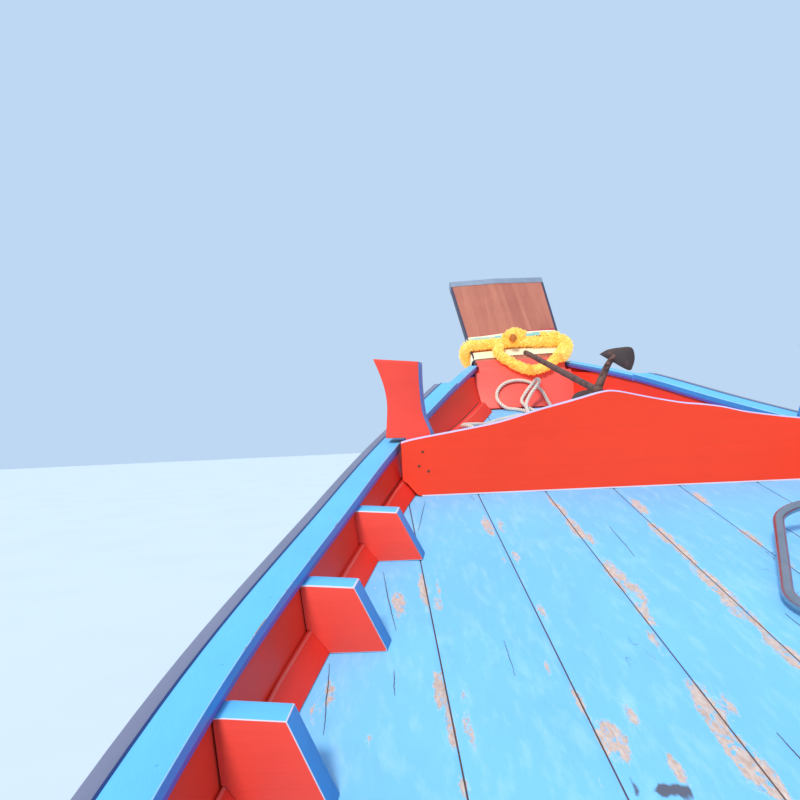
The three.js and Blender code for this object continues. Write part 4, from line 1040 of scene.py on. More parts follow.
def make_foredeck():
    rows = spread(DECK_AFT, DECK_BOW - 0.002, 150)
    boards = plank_set(
        DECK_SEAMS, rows, deck_z, DECK_THICK, lambda y: wall_at(y, deck_z(y) - 0.01) - 0.003,
        gap=0.0030, spacing=0.0125, swell=0.0008,
    )
    deck = piece("foredeck_planks", *together(boards), "deck", slot="blue_paint",
                 replaces=("foredeck",), smooth=40)
    marks = [deck_marks(v.co.x, v.co.y) for v in deck.data.vertices]
    for name, values in zip(("wear", "crack"), zip(*marks)):
        deck.data.attributes.new(name, "FLOAT", "POINT").data.foreach_set("value", values)
    make_cracks()
    make_caulk()
    refined("foredeck_bulkhead", "bulkhead_panel", 0.003, "inside edge_red")
    for name, side in SIDES:
        refined(f"waterway_{name}", f"waterway_{name}_fillet", 0.0025, "red edge_red",
                segments=1)
        make_margin_line(name, side)
        for i in range(5):
            make_knee(f"knee_{name}_{i + 1}")


def make_margin_line(name, side):
    """The dark line where the margin fillet meets the planking."""
    path = []
    for y in spread(DECK_AFT + 0.01, DECK_BOW - 0.05, 60):
        z = deck_z(y) + 0.0455
        path.append(Vector((side * (wall_at(y, z) - 0.0022), y, z)))
    piece(f"margin_line_{name}", *tube(path, 0.0018, 6), "caulk", slot="red_paint", smooth=60)


def make_knee(node):
    """Red faces, blue on top, a darker blue of painted shade inboard, and pale chipped paint where the
    colours meet.
    """
    knee = refined(
        node, f"{node}_timber", 0.0022, "red_face blue_across blue_side edge_red",
        pick=lambda n, c: 1 if n.z > 0.75 else (2 if abs(n.x) > 0.5 else 0),
    )
    knee.data.materials.append(MAT["chalk"])
    rounded_edge, chalked = 3, 4        # places in the list of the knee's materials
    lean, band = 0.42, 0.012            # the inboard edge leans out with height, in a band this wide
    low = min(v.co.z for v in knee.data.vertices)
    inboard = min(abs(v.co.x) for v in knee.data.vertices)
    for polygon in knee.data.polygons:
        x, y, z = polygon.center
        meets_blue = z > sheer(y) - 0.016 or abs(x) < inboard + (z - low) * lean + band
        if polygon.material_index == rounded_edge and (meets_blue or z < deck_z(y) + 0.006):
            polygon.material_index = chalked


# The rails, beam, horns and prow
def rounded(corners, radius, per=3):
    """A polygon of (x, z) corners with each corner rounded."""
    found = []
    count = len(corners)
    for i, (x, z) in enumerate(corners):
        corner = Vector((x, z))
        before, after = Vector(corners[i - 1]), Vector(corners[(i + 1) % count])
        size = min(radius, 0.4 * (corner - before).length, 0.4 * (after - corner).length)
        a = corner + (before - corner).normalized() * size
        b = corner + (after - corner).normalized() * size
        for k in range(per + 1):
            t = k / per
            found.append(tuple(a * (1 - t) ** 2 + corner * 2 * t * (1 - t) + b * t * t))
    return found


def along_rail(stations, side, corners, radius):
    rings = []
    for y in stations:
        a, z = inner(y), sheer(y)
        rings.append([Vector((side * (a + x), y, z + h)) for x, h in rounded(corners, radius)])
    return loft(rings)


# Sections of the rails and strips: out from the hull's inner line, and up from its sheer
BROAD_RAIL = [(0, 0.0003), (0.068, 0.0003), (0.068, 0.030), (0, 0.030), (0, 0.013)]
SLIM_RAIL = [(-0.001, 0.0003), (0.041, 0.0003), (0.041, 0.024), (-0.001, 0.024), (-0.001, 0.011)]
RAIL_EDGE = [(0.0645, 0.0298), (0.0690, 0.0298), (0.0690, 0.0307), (0.0645, 0.0307)]
STRIP_OUT = 0.098
RUB_STRIP = [
    (0.0333, -0.060), (STRIP_OUT, -0.060), (STRIP_OUT, 0.027), (0.0683, 0.027), (0.0683, 0), (0.0333, 0),
]
BROAD_STATIONS = spread(STERN, 1.5, 34) + spread(1.5, WIDE_RAIL_END, 40)[1:]
SLIM_STATIONS = spread(WIDE_RAIL_END - 0.001, RAIL_END, 10)


def make_cap_rail(name, side):
    """Blue on top; inboard the darker blue of painted shade, its lower half violet with painted shade and a
    painted reflection of the red planking; paler where an edge is rounded.
    """
    verts, faces = together([
        along_rail(BROAD_STATIONS, side, BROAD_RAIL, 0.004),
        along_rail(SLIM_STATIONS, side, SLIM_RAIL, 0.003),
    ])
    rail = piece(f"cap_rail_{name}_timber", verts, faces, "blue blue_side edge_blue violet",
                 slot="blue_paint", replaces=(f"cap_rail_{name}",), smooth=30)
    for polygon in rail.data.polygons:
        n = polygon.normal
        low = polygon.center.z < sheer(polygon.center.y) + 0.012
        inboard = n.x * side < -0.8 or n.z < -0.3
        # inboard faces take painted shade, and low down a painted reflection of the red planking as well
        polygon.material_index = (3 if low else 1) if inboard else (2 if 0.3 < n.z <= 0.9 else 0)
    rings = []
    for y in BROAD_STATIONS:
        rings.append([Vector((side * (inner(y) + x), y, sheer(y) + h)) for x, h in RAIL_EDGE])
    piece(f"rail_line_{name}", *loft(rings), "navy", slot="blue_paint", smooth=30)


def make_rub_strip(name, side):
    piece(f"rub_strip_{name}_timber", *along_rail(BROAD_STATIONS, side, RUB_STRIP, 0.005), "grey",
          slot="grey_paint", replaces=(f"rub_strip_{name}",), smooth=30)
    heads = []
    for y in spread(STERN + 0.15, WIDE_RAIL_END - 0.15, 34):
        heads.append((Vector((side * (inner(y) + STRIP_OUT), y, sheer(y) - 0.018)), Vector((side, 0, 0))))
    piece(f"rail_bolts_{name}", *scatter_domes(heads, 0.009, 0.004), "galvanised",
          slot="grey_paint", smooth=60)


def make_rail_nails(name, side):
    nails = []
    for y in spread(STERN + 0.1, RAIL_END - 0.1, 46):
        high = 0.030 if y < WIDE_RAIL_END else 0.024
        nails.append((Vector((side * (inner(y) + 0.02), y, sheer(y) + high)), Vector(UP)))
    piece(f"rail_nails_{name}", *scatter_domes(nails, 0.003, 0.0006, 6), "blue",
          slot="blue_paint", smooth=60)


def make_rails():
    for name, side in SIDES:
        make_cap_rail(name, side)
        make_rub_strip(name, side)
        make_rail_nails(name, side)


CROWN = {
    -1: [(0.670, 1.326), (0.611, 1.345), (0.458, 1.368), (0.336, 1.388), (0.213, 1.420), (0.121, 1.441),
         (0.032, 1.463), (0.0, 1.467)],
    1: [(0.670, 1.331), (0.611, 1.350), (0.500, 1.367), (0.400, 1.385), (0.336, 1.402), (0.280, 1.412),
        (0.213, 1.421), (0.121, 1.441), (0.032, 1.463), (0.0, 1.467)],
}
BEAM_NAILS = ((-0.575, 1.305), (-0.560, 1.245), (-0.588, 1.262), (0.575, 1.305), (0.560, 1.245))
HORN_OUT = {"port": 0.0, "starboard": 0.074}       # the starboard horn stands further out
HORN_THICK, HORN_REACH = 0.05, 0.06                 # reach: how far forward the planking clears it
HORN_INBOARD = [(0.545, 1.364), (0.562, 1.409), (0.569, 1.450), (0.572, 1.520), (0.571, 1.586)]
HORN_OUTBOARD = [
    (0.683, 1.358), (0.678, 1.408), (0.675, 1.455), (0.680, 1.502), (0.693, 1.550), (0.712, 1.601),
]


def smooth_line(table, per, out=0.0):
    """A smooth line through (x, z) points, moved out. Its points hold x and z first."""
    return catmull([(x + out, z, 0) for x, z in table], per)


def interpolate(table, x):
    """Linear interpolation in a table of (x, value) with falling x."""
    rows = sorted(table)
    i = min(max(bisect.bisect_left([r[0] for r in rows], x), 1), len(rows) - 1)
    (x0, a), (x1, b) = rows[i - 1], rows[i]
    return a + (b - a) * (x - x0) / (x1 - x0)


def beam_ring(x, crown):
    """The beam's section at a place across the boat, over the deck, the margin fillet and the planking."""
    fillet_high, fillet_wide, fillet_slope = 0.045, 0.046, 0.035
    front, back = BEAM_Y, BEAM_Y + BEAM_THICK
    middle = (front + back) / 2
    wall = wall_at(middle, deck_z(middle))
    up = fillet_high * min(1, max(0, (abs(x) - wall + fillet_wide) / fillet_slope))
    fillet = deck_z(middle) + up + 0.0006 if abs(x) > wall - 0.05 else 0
    side = max(fillet, wall_z(middle, abs(x) + 0.001) + 0.001)
    high = interpolate(crown[1 if x > 0 else -1], abs(x))
    low, low_back = (min(max(deck_z(y) + 0.0004, side), high - 0.03) for y in (front, back))
    return [Vector((x, y, z)) for y, z in (
        (front, low), (front, low + 0.0045), (front, high - 0.005), (front + 0.0015, high - 0.0025),
        (front + 0.004, high - 0.0008), (front + 0.008, high),
        (back - 0.005, high), (back - 0.0015, high - 0.001), (back, high - 0.004), (back, low_back),
    )]


def make_beam():
    half = inner(BEAM_Y + BEAM_THICK) - 0.005
    crown = {side: [(p.x, p.y) for p in smooth_line(CROWN[side], 6)] for side in CROWN}
    rings = [beam_ring(x, crown) for x in spread(-half, half, 90)]
    beam = piece("breakwater_board", *loft(rings), "red_beam beam_top chalk",
                 slot="red_paint", replaces=("breakwater_beam",), smooth=30)
    for polygon in beam.data.polygons:
        foot = polygon.center.z < deck_z(BEAM_Y) + 0.0035 and polygon.center.y < BEAM_Y + 0.001
        # faces that look up take the pale lavender of painted light
        polygon.material_index = 1 if polygon.normal.z > 0.2 else (2 if foot else 0)
    nails = [(Vector((x, BEAM_Y, z)), Vector((0, -1, 0))) for x, z in BEAM_NAILS]
    piece("beam_nails", *scatter_domes(nails, 0.0045, 0.0012), "pipe", slot="rusty_iron", smooth=60)
    for name, side in SIDES:
        make_horn(name, side)


def horn_rings(side, out, rail_top):
    """Level sections from the foot up, as wide as the foot to the rail's top and then as the horn."""
    y0 = BEAM_Y + BEAM_THICK + 0.0003
    sweep = (inner(y0 + HORN_REACH) - inner(y0)) / HORN_REACH
    foot_in, foot_out, shoulder = 0.545 + out, inner(y0 + HORN_REACH) - 0.004, 0.683 + out
    ins, outs = smooth_line(HORN_INBOARD, 5, out), smooth_line(HORN_OUTBOARD, 4, out)
    low = deck_z(y0)
    levels = [
        ((foot_in, low + 0.062), (foot_out - 0.03, low + 0.062)),
        ((foot_in, low + 0.1), (foot_out, low + 0.1)),
        ((foot_in, rail_top), (foot_out, rail_top)),
        ((foot_in, rail_top + 0.0005), (shoulder, rail_top + 0.0005)),
    ]
    for share in spread(0, 1, 20):
        a, b = ins[round(share * (len(ins) - 1))], outs[round(share * (len(outs) - 1))]
        levels.append(((a.x, a.y), (b.x, b.y)))
    rings = []
    for (xa, za), (xb, zb) in levels:
        ring = []
        for x, z, dy in ((xa, za, 0), (xb, zb, 0), (xb, zb, HORN_THICK), (xa, za, HORN_THICK)):
            ring.append(Vector((side * (x + sweep * dy), y0 + dy, z)))
        rings.append(ring)
    return rings


def make_horn(name, side):
    rail_top = sheer(BEAM_Y + BEAM_THICK + 0.0003 + HORN_REACH) + 0.032
    rings = horn_rings(side, HORN_OUT[name], rail_top)
    horn = piece(f"horn_{name}_timber", *loft(rings), "red_face blue_side edge_red",
                 slot="red_paint", replaces=(f"horn_{name}",))
    for polygon in horn.data.polygons:
        n = polygon.normal
        top = n.z > 0.5 and polygon.center.z > rail_top + 0.1
        # the top and the inboard side take the darker blue of painted shade
        polygon.material_index = 1 if top or n.x * side < -0.6 else 0
    softened(horn, 0.003, 2, 30, 2)


PROW_LENGTH = (PROW_TOP - PROW_LOW).length
CAP_DEPTH = 0.052                   # how far the metal cap comes down over the board


def on_board(u, v, w):
    """A point of the prow board: across, up along it, and into its thickness."""
    return PROW_LOW + Vector((u, 0, 0)) + PROW_UP * v + PROW_IN * w


def board_half(v):
    return PROW_HALF_LOW + (PROW_HALF_TOP - PROW_HALF_LOW) * v / PROW_LENGTH


def board_ring(v, grow, radius):
    half = board_half(v) + grow
    corners = [(-half, -grow), (0, -PROW_RIDGE - grow), (half, -grow), (half, 0.0437), (-half, 0.0437)]
    return [on_board(u, v, w) for u, w in rounded(corners, radius, 2)]


def make_prow_board():
    board = [board_ring(v, 0, 0.003) for v in spread(0.018, PROW_LENGTH - CAP_DEPTH, 10)]
    piece("prow_board_timber", *loft(board), "prow", slot="bare_wood",
          replaces=("prow_board",), smooth=30)
    # dark strips wrapping the board's side edges: painted shade, wider to starboard
    edges = []
    for side, wide in ((-1, 0.006), (1, 0.010)):
        rings = []
        for v in spread(0.020, PROW_LENGTH - CAP_DEPTH - 0.002, 6):
            half = board_half(v)
            rings.append([on_board(side * u, v, w) for u, w in (
                (half - wide, -0.0016), (half + 0.0012, -0.0012),
                (half + 0.0012, 0.034), (half - 0.002, 0.034),
            )])
        edges.append(loft(rings))
    piece("prow_board_shaded_edges", *together(edges), "prow_edge", slot="bare_wood", smooth=30)


def make_prow_cap():
    low = PROW_LENGTH - CAP_DEPTH
    cap = [board_ring(v, 0.002, 0.004) for v in (low + 0.0003, PROW_LENGTH - 0.003)]
    cap.append(board_ring(PROW_LENGTH, 0.0, 0.004))
    piece("prow_cap_metal", *loft(cap), "lead", slot="sheet_metal", replaces=("prow_cap",), smooth=30)
    nails = []
    for u in spread(-0.22, 0.22, 9):
        ridge = -PROW_RIDGE * (1 - abs(u) / board_half(PROW_LENGTH)) - 0.002
        nails.append((on_board(u, low + 0.012, ridge), -PROW_IN))
    piece("prow_cap_nails", *scatter_domes(nails, 0.0035, 0.0014, 6), "galvanised",
          slot="sheet_metal", smooth=60)


def make_prow():
    # the apron and its strip take the paler red of painted light
    refined("bow_apron", "bow_apron_panel", 0.003, "red_apron edge_red")
    strip = []
    for x in (-0.205, 0.205):
        strip.append([Vector((x, apron_y(z) + dy, z)) for z, dy in (
            (1.6605, 0.001), (1.690, 0.001), (1.690, 0.017), (1.6605, 0.022),
        )])
    piece("bow_apron_strip", *loft(strip), "red_apron", slot="red_paint", smooth=30)
    make_prow_board()
    make_prow_cap()


# The garland and ribbons
def bow_rows():
    """The hull's outside and the keel's corners at stations along the bow, each row in the same order."""
    rows = []
    for y in spread(4.3, PROW_END, 28) + [STEM_TIP]:
        half = half_section(skin_half(y), keel_z(y), top_z(y), line(FULLNESS, y))
        row = [Vector((side * x, y, z)) for side in (-1, 1) for x, z in half]
        rows.append(row + [Vector((x, y, keel_z(y) - keel_deep(y))) for x in (-KEEL_HALF, KEEL_HALF)])
    return rows


def prow_outline(up, out, tilt=0.0):
    """A tight line round the hull and prow board at a height up the board, moved out from them."""
    half = board_half(up)
    found = [(-half, 0.0), (0.0, -PROW_RIDGE), (half, 0.0), (half, PROW_THICK), (-half, PROW_THICK)]
    rows = bow_rows()
    for before, after in zip(rows, rows[1:]):
        for a, b in zip(before, after):
            over = (a - PROW_LOW).dot(PROW_UP) - up
            beyond = (b - PROW_LOW).dot(PROW_UP) - up
            if (over < 0) != (beyond < 0):
                p = a + (b - a) * (over / (over - beyond))
                found.append((p.x, (p - PROW_LOW).dot(PROW_IN)))
    turns = [k / 16 * math.tau for k in range(16)]
    moved = [(u + out * math.cos(t), w + out * math.sin(t)) for u, w in found for t in turns]
    outline = [moved[i] for i in convex_hull_2d([Vector(p) for p in moved])]
    path = [on_board(u, up + tilt * u, w) for u, w in outline]
    path = evenly(path + [path[0]], 0.01)[:-1]
    for _ in range(2):
        path = [(path[i - 1] + path[i] * 2 + path[(i + 1) % len(path)]) / 4 for i in range(len(path))]
    return path


PETAL_FACES = [
    (0, 1, 2, 5), (5, 2, 3, 4), (6, 7, 2, 1), (6, 0, 5, 7), (7, 8, 3, 2), (7, 5, 4, 8), (6, 1, 0), (8, 4, 3),
]


def petals(path, radius, count, size, joined, seed):
    """Small curled petals that stand out all round a path."""
    draw = random.Random(seed)
    axes = frames(path, joined)
    parts = []
    for _ in range(count):
        i = draw.randrange(len(path))
        ahead, a, b = axes[i]
        turn = draw.uniform(0, math.tau)
        out = a * math.cos(turn) + b * math.sin(turn)
        across = (ahead * draw.uniform(-1, 1) + ahead.cross(out) * draw.uniform(-1, 1)).normalized()
        lean = out + ahead * draw.uniform(-0.7, 0.7) + ahead.cross(out) * draw.uniform(-0.7, 0.7)
        lean.normalize()
        root = path[i] + ahead * draw.uniform(-0.005, 0.005) + out * radius * draw.uniform(0.45, 0.85)
        long, wide = size * draw.uniform(0.7, 1.25), size * draw.uniform(0.28, 0.5)
        curl = ahead.cross(lean) * draw.uniform(-0.4, 0.4) * long
        tip = root + lean * long + curl * 0.6
        waist = root + lean * long * 0.55 + curl * 0.2
        side = across * wide
        thin = lean.cross(side).normalized() * 0.0009
        verts = [root - side * 0.3 - thin, root + side * 0.3 - thin, waist + side, tip + side * 0.35,
                 tip - side * 0.35, waist - side, root + thin, waist + thin * 2, tip + thin]
        parts.append((verts, PETAL_FACES))
    return together(parts)


def fluffy(path, core, reach, count, size, joined, seed):
    """A thick string of small flowers along a path."""
    def swell(i, angle):
        return 0.94 + 0.16 * math.sin(i * 0.9 + 2 * angle) + 0.08 * math.sin(i * 2.3 - angle)

    yarn = tube(path, core, 12, joined=joined, section=swell)
    return together([yarn, petals(path, reach, count, size, joined, seed)])


def on_line(rows):
    return catmull([on_board(*row) for row in rows], 8)


def make_garland():
    ring = prow_outline(0.125, 0.027)
    piece("prow_garland_flowers", *fluffy(ring, 0.021, 0.025, 9000, 0.0095, True, 5), "garland",
          slot="garland_flowers", replaces=("prow_garland",), smooth=50)
    # the loose part hangs from the knot over the apron and comes up again at the starboard edge
    swag = catmull([
        on_board(-0.080, 0.120, -0.034), Vector((-0.105, 4.862, 1.722)), Vector((-0.066, 4.836, 1.684)),
        Vector((-0.016, 4.812, 1.648)), Vector((0.041, 4.803, 1.630)), Vector((0.110, 4.812, 1.648)),
        Vector((0.160, 4.834, 1.686)), Vector((0.196, 4.868, 1.722)), on_board(0.222, 0.090, -0.024),
    ], 8)
    bunch = on_line([(0.120, 0.145, -0.040), (0.185, 0.135, -0.044), (0.226, 0.100, -0.036),
                     (0.222, 0.050, -0.036), (0.196, 0.005, -0.044), (0.172, -0.030, -0.050)])
    knot = on_line([(-0.045, 0.130, -0.052), (-0.010, 0.160, -0.056), (0.030, 0.140, -0.052)])
    parts = [
        fluffy(swag, 0.018, 0.022, 3000, 0.009, False, 9),
        fluffy(bunch, 0.021, 0.025, 1900, 0.010, False, 12),
        fluffy(knot, 0.026, 0.031, 1500, 0.010, False, 14),
    ]
    piece("garland_swag", *together(parts), "garland", slot="garland_flowers", smooth=50)
    bloom = on_line([(-0.034, 0.085, -0.074), (-0.026, 0.100, -0.078), (-0.022, 0.110, -0.074)])
    piece("garland_bloom", *fluffy(bloom, 0.010, 0.013, 240, 0.009, False, 3), "flower",
          slot="garland_flowers", smooth=50)


RIBBONS = [
    # name, material, height up the board at the middle, width, distance out, tilt, seed
    ("ribbon_crimson", "crimson", 0.236, 0.016, 0.0015, 0.10, 3),
    ("ribbon_pale", "cream", 0.226, 0.020, 0.0028, 0.07, 4),
    ("ribbon_teal", "teal", 0.208, 0.028, 0.0042, 0.07, 2),
    ("ribbon_cream", "cream", 0.078, 0.052, 0.0030, 0.04, 1),
]


def ribbon_rings(path, width, seed):
    """A band round the path with small ripples."""
    draw = random.Random(seed)
    phase = [draw.uniform(0, math.tau) for _ in range(3)]
    middle = sum(path, Vector()) / len(path)
    rings = []
    for i, p in enumerate(path):
        ahead = (path[(i + 1) % len(path)] - path[i - 1]).normalized()
        away = ahead.cross(PROW_UP).normalized()
        if away.dot(p - middle) < 0:
            away = -away
        t = i / len(path) * math.tau
        shift = 0.0015 * math.sin(2 * t + phase[0])
        ring = []
        for j in range(9):
            v = (j / 8 - 0.5) * width
            ripple = 0.0008 * math.sin(5 * v / width + 7 * t + phase[1])
            ripple += 0.0004 * math.sin(13 * t + phase[2])
            ring.append(p + PROW_UP * (v + shift) + away * ripple)
        rings.append(ring + [q + away * 0.0007 for q in ring][::-1])
    return rings


def make_ribbons():
    for name, material, up, width, out, tilt, seed in RIBBONS:
        path = prow_outline(up, out, tilt)
        ribbon = piece(name, *loft(ribbon_rings(path, width, seed), joined=True), material,
                       slot="ribbon_cloth", smooth=60,
                       replaces=("prow_ribbons",) if name == "ribbon_teal" else ())


# The well, seats and decks
BOARD_THICK, FLOOR_THICK = 0.028, 0.026


def make_well():
    for name, _ in SIDES:
        node = frame["nodes"][f"ribs_{name}"]
        node.data.materials.clear()
        node.data.materials.append(MAT["inside"])
    floor = plank_set(
        spread(-1.05, 1.05, 14), spread(-4.13, 0.926, 60), lambda y: FLOOR_Z, FLOOR_THICK,
        lambda y: wall_at(y, FLOOR_Z - 0.02) - 0.008, gap=0.006, spacing=0.075, swell=0.0006,
    )
    piece("floor_planks", *together(floor), "blue", slot="blue_paint",
          replaces=("floorboards",), smooth=40)
    for i in range(4):
        refined(f"thwart_{i + 1}", f"thwart_{i + 1}_board", 0.005, "blue_across edge_blue",
                segments=3)
    make_aft_deck()


def make_aft_deck():
    """Boards on two bearers and four short legs."""
    top = AFT_DECK_Z + BOARD_THICK
    deck = plank_set(
        spread(-1.0, 1.0, 12), spread(STERN + 0.053, -4.105, 16), lambda y: top, BOARD_THICK,
        lambda y: wall_at(y, AFT_DECK_Z + 0.005) - 0.004, gap=0.005, spacing=0.08, swell=0.0006,
    )
    for x in (-0.56, 0.56):
        for y in (STERN + 0.113, -4.17):
            low = wall_z(y, abs(x) + 0.03) + 0.004
            deck.append(block((x - 0.03, y - 0.025, low), (x + 0.03, y + 0.025, AFT_DECK_Z)))
    for y in (STERN + 0.09, -4.2):
        half = wall_at(y, AFT_DECK_Z - 0.05) - 0.02
        deck.append(block((-half, y - 0.03, AFT_DECK_Z - 0.045), (half, y + 0.03, AFT_DECK_Z - 0.0005)))
    piece("aft_deck_planks", *together(deck), "blue", slot="blue_paint",
          replaces=("aft_deck",), smooth=40)


# The canopy on its hoops
CANOPY_FROM, CANOPY_TO, CANOPY_EAVE, CANOPY_RISE, CANOPY_HALF = -3.45, -0.25, 2.06, 0.25, 1.06
HEMS = (CANOPY_FROM - 0.085, CANOPY_TO + 0.085)        # where the cloth ends, aft and forward
CANOPY_EDGE = CANOPY_HALF - 0.004
CANOPY_SEAMS = (-2.42, -1.28)
HOOPS = spread(CANOPY_FROM, CANOPY_TO, 3)
HOOP_DROP = 0.015                   # from the cloth's line down to the hoop's middle


def canopy_z(x):
    return CANOPY_EAVE + CANOPY_RISE * (1 - (x / CANOPY_HALF) ** 2)


def canopy_cloth():
    """The cloth, slack between the hoops and creased towards its sides."""
    rings = []
    for y in spread(*HEMS, 120):
        bay = (y - CANOPY_FROM) / ((CANOPY_TO - CANOPY_FROM) / 3)
        slack = math.sin(math.pi * (bay % 1)) if 0 < bay < 3 else 0.0
        seam = 0.0014 if min(abs(y - s) for s in CANOPY_SEAMS) < 0.013 else 0.0
        ring = []
        for x in spread(-CANOPY_EDGE, CANOPY_EDGE, 64):
            edge = abs(x) / CANOPY_EDGE
            pull = noise.noise(Vector((x * 2.2, y * 5.0, 1.7))) * 0.0026 * slack
            wave = math.sin(x * 46 + 6 * noise.noise(Vector((x, y * 1.5, 0))))
            crease = 0.0022 * wave * (1 - slack) * edge ** 2
            z = canopy_z(x) + 0.0075 - 0.0075 * slack * (1 - 0.5 * edge) + pull + crease + seam
            ring.append(Vector((x, y, z)))
        rings.append(ring + [p + Vector((0, 0, 0.0012)) for p in ring[::-1]])
    return loft(rings)


def canopy_hem():
    paths = []
    for x in (-CANOPY_EDGE, CANOPY_EDGE):
        z = canopy_z(x) + 0.007
        paths.append([Vector((x, y, z)) for y in spread(*HEMS, 60)])
    for y in HEMS:
        paths.append([Vector((x, y, canopy_z(x) + 0.008)) for x in spread(-CANOPY_EDGE, CANOPY_EDGE, 50)])
    return together([tube(path, 0.0065, 8) for path in paths])


def lashing(x, y):
    """A turn of cord round the cloth and its hoop."""
    slope = -2 * CANOPY_RISE * x / CANOPY_HALF ** 2
    out = Vector((-slope, 0, 1)).normalized()
    along = Vector((1, 0, slope)).normalized()
    centre = Vector((x, y, canopy_z(x) - HOOP_DROP))
    loop = []
    for k in range(28):
        t = k / 28 * math.tau
        lift = out * (0.0225 * math.cos(t) + 0.002)
        ahead = Vector((0, 1, 0)) * 0.0205 * math.sin(t)
        loop.append(centre + lift + ahead + along * 0.004 * math.sin(2 * t))
    return tube(loop, 0.0024, 6, joined=True)


def make_hoop(node, y):
    """A tube from rail to rail under the cloth, with a bolted foot at each end."""
    foot, foot_z = inner(y) + 0.036, sheer(y) + 0.0305
    knee = CANOPY_HALF - 0.024
    knee_z = canopy_z(knee) - 0.019
    path = [
        Vector((-foot, y, foot_z + 0.003)),
        Vector((-foot + (foot - knee) * 0.5, y, (foot_z + knee_z) / 2)),
        Vector((-knee, y, knee_z - 0.05)),
    ]
    path += [Vector((x, y, canopy_z(x) - HOOP_DROP)) for x in spread(-knee + 0.03, knee - 0.03, 12)]
    path += [Vector((-p.x, p.y, p.z)) for p in path[2::-1]]
    parts = [tube(evenly(catmull(path, 8), 0.03), 0.015, 16)]
    wide, long, thick = 0.03, 0.042, 0.007              # the foot's plate, from its middle
    weld = [(0.020, 0.006), (0.019, 0.011), (0.0155, 0.014)]
    heads = []
    for x in (-foot, foot):
        parts.append(block((x - wide, y - long, foot_z), (x + wide, y + long, foot_z + thick)))
        parts.append(lathe(weld, (x, y, foot_z), UP, 16))
        heads += [(Vector((x, y + dy, foot_z + thick)), Vector(UP)) for dy in (-0.031, 0.031)]
    parts.append(scatter_domes(heads, 0.006, 0.004))
    piece(f"{node}_tube", *together(parts), "galvanised", slot="tube_steel", replaces=(node,), smooth=40)


def make_canopy():
    edges = piece("canopy_hem", *canopy_hem(), "trim", slot="canvas", smooth=60)
    ties = [lashing(x, y) for y in HOOPS for x in spread(-0.96, 0.96, 6)]
    lashings = piece("canopy_lashings", *together(ties), "rope", slot="rope_fibre", smooth=60)
    cloth = piece("canopy_cloth", *canopy_cloth(), "canvas", slot="canvas", replaces=("canopy",), smooth=60)
    for i, y in enumerate(HOOPS):
        make_hoop(f"canopy_hoop_{i + 1}", y)


# Things that lie on the bow
LADDER_RADIUS, LADDER_LENGTH, LADDER_CORNER = 0.0125, 1.1, 0.10
LADDER_RUNGS = (0.33, 0.63, 0.93)
LADDER_NEAR, LADDER_FAR = Vector((0.050, 2.782, 0.9805)), Vector((0.272, 3.225, 1.143))
LADDER_ALONG = Vector((0.875, -0.481, 0.052)).normalized()


def ladder_path(half):
    """The hoop: along one side, round the near end and back, as distances along and across."""
    c = LADDER_CORNER
    arc = [(c - c * math.sin(t), half - c + c * math.cos(t)) for t in spread(0, math.pi / 2, 10)][1:]
    shares = spread(0, 1, 24)
    path = [(LADDER_LENGTH + (c - LADDER_LENGTH) * s, half) for s in shares] + arc
    path += [(0, y) for y in spread(half - c, c - half, 10)[1:-1]]
    path += [(x, -y) for x, y in arc[::-1]]
    return path + [(c + (LADDER_LENGTH - c) * s, -half) for s in shares]


def make_ladder():
    across = LADDER_FAR - LADDER_NEAR
    half = across.length / 2
    across.normalize()
    middle = (LADDER_NEAR + LADDER_FAR) / 2

    def at(x, y):
        return middle + LADDER_ALONG * x + across * y

    parts = [tube([at(x, y) for x, y in ladder_path(half)], LADDER_RADIUS, 24)]
    weld = [(0.0112, -0.003), (0.0138, -0.0015), (0.0138, 0.0015), (0.0112, 0.003)]
    for x in LADDER_RUNGS:
        rung = [at(x, y) for y in spread(-half, half, 12)]
        parts.append(tube(rung, LADDER_RADIUS - 0.0015, 18))
        for y in (-half + LADDER_RADIUS, half - LADDER_RADIUS):
            parts.append(lathe(weld, at(x, y), across, 18))
    piece("ladder_tubes", *together(parts), "steel", slot="tube_steel", replaces=("boarding_ladder",),
          smooth=40)
    cap = [(0.0128, -0.02), (0.0142, -0.018), (0.0142, 0.001), (0.011, 0.004)]
    caps = [lathe(cap, at(LADDER_LENGTH, y), LADDER_ALONG, 20) for y in (-half, half)]
    treads = []
    for x in LADDER_RUNGS:
        rung = [at(x, y) for y in spread(-half + 0.03, half - 0.03, 60)]
        treads.append(tube(rung, LADDER_RADIUS, 14, section=lambda i, a: 1.0 + 0.03 * (i % 2)))
    piece("ladder_caps", *together(caps + treads), "rubber", slot="tube_steel", smooth=40)


PALM_UP = [(0.015, 1.588), (0.041, 1.601), (0.079, 1.606), (0.117, 1.604), (0.125, 1.573), (0.117, 1.544),
           (0.103, 1.532), (0.051, 1.564)]
PALM_DOWN = [(-0.092, 1.422), (-0.074, 1.464), (-0.024, 1.475), (0.006, 1.452), (-0.022, 1.430),
             (-0.058, 1.407)]


def crowned(outline, y, thick):
    """A plate with the outline, thin at its edges and thick in the middle."""
    points = catmull([(x, 0, z) for x, z in outline + outline[:1]], 4)[:-1]
    middle = sum(points, Vector()) / len(points)
    rings = []
    slices = ((0.35, -1.0), (0.75, -0.75), (1.0, -0.30), (1.0, 0.30), (0.75, 0.75), (0.35, 1.0))
    for share, half in slices:
        rings.append([middle + (p - middle) * share + Vector((0, y + half * thick / 2, 0)) for p in points])
    return loft(rings)


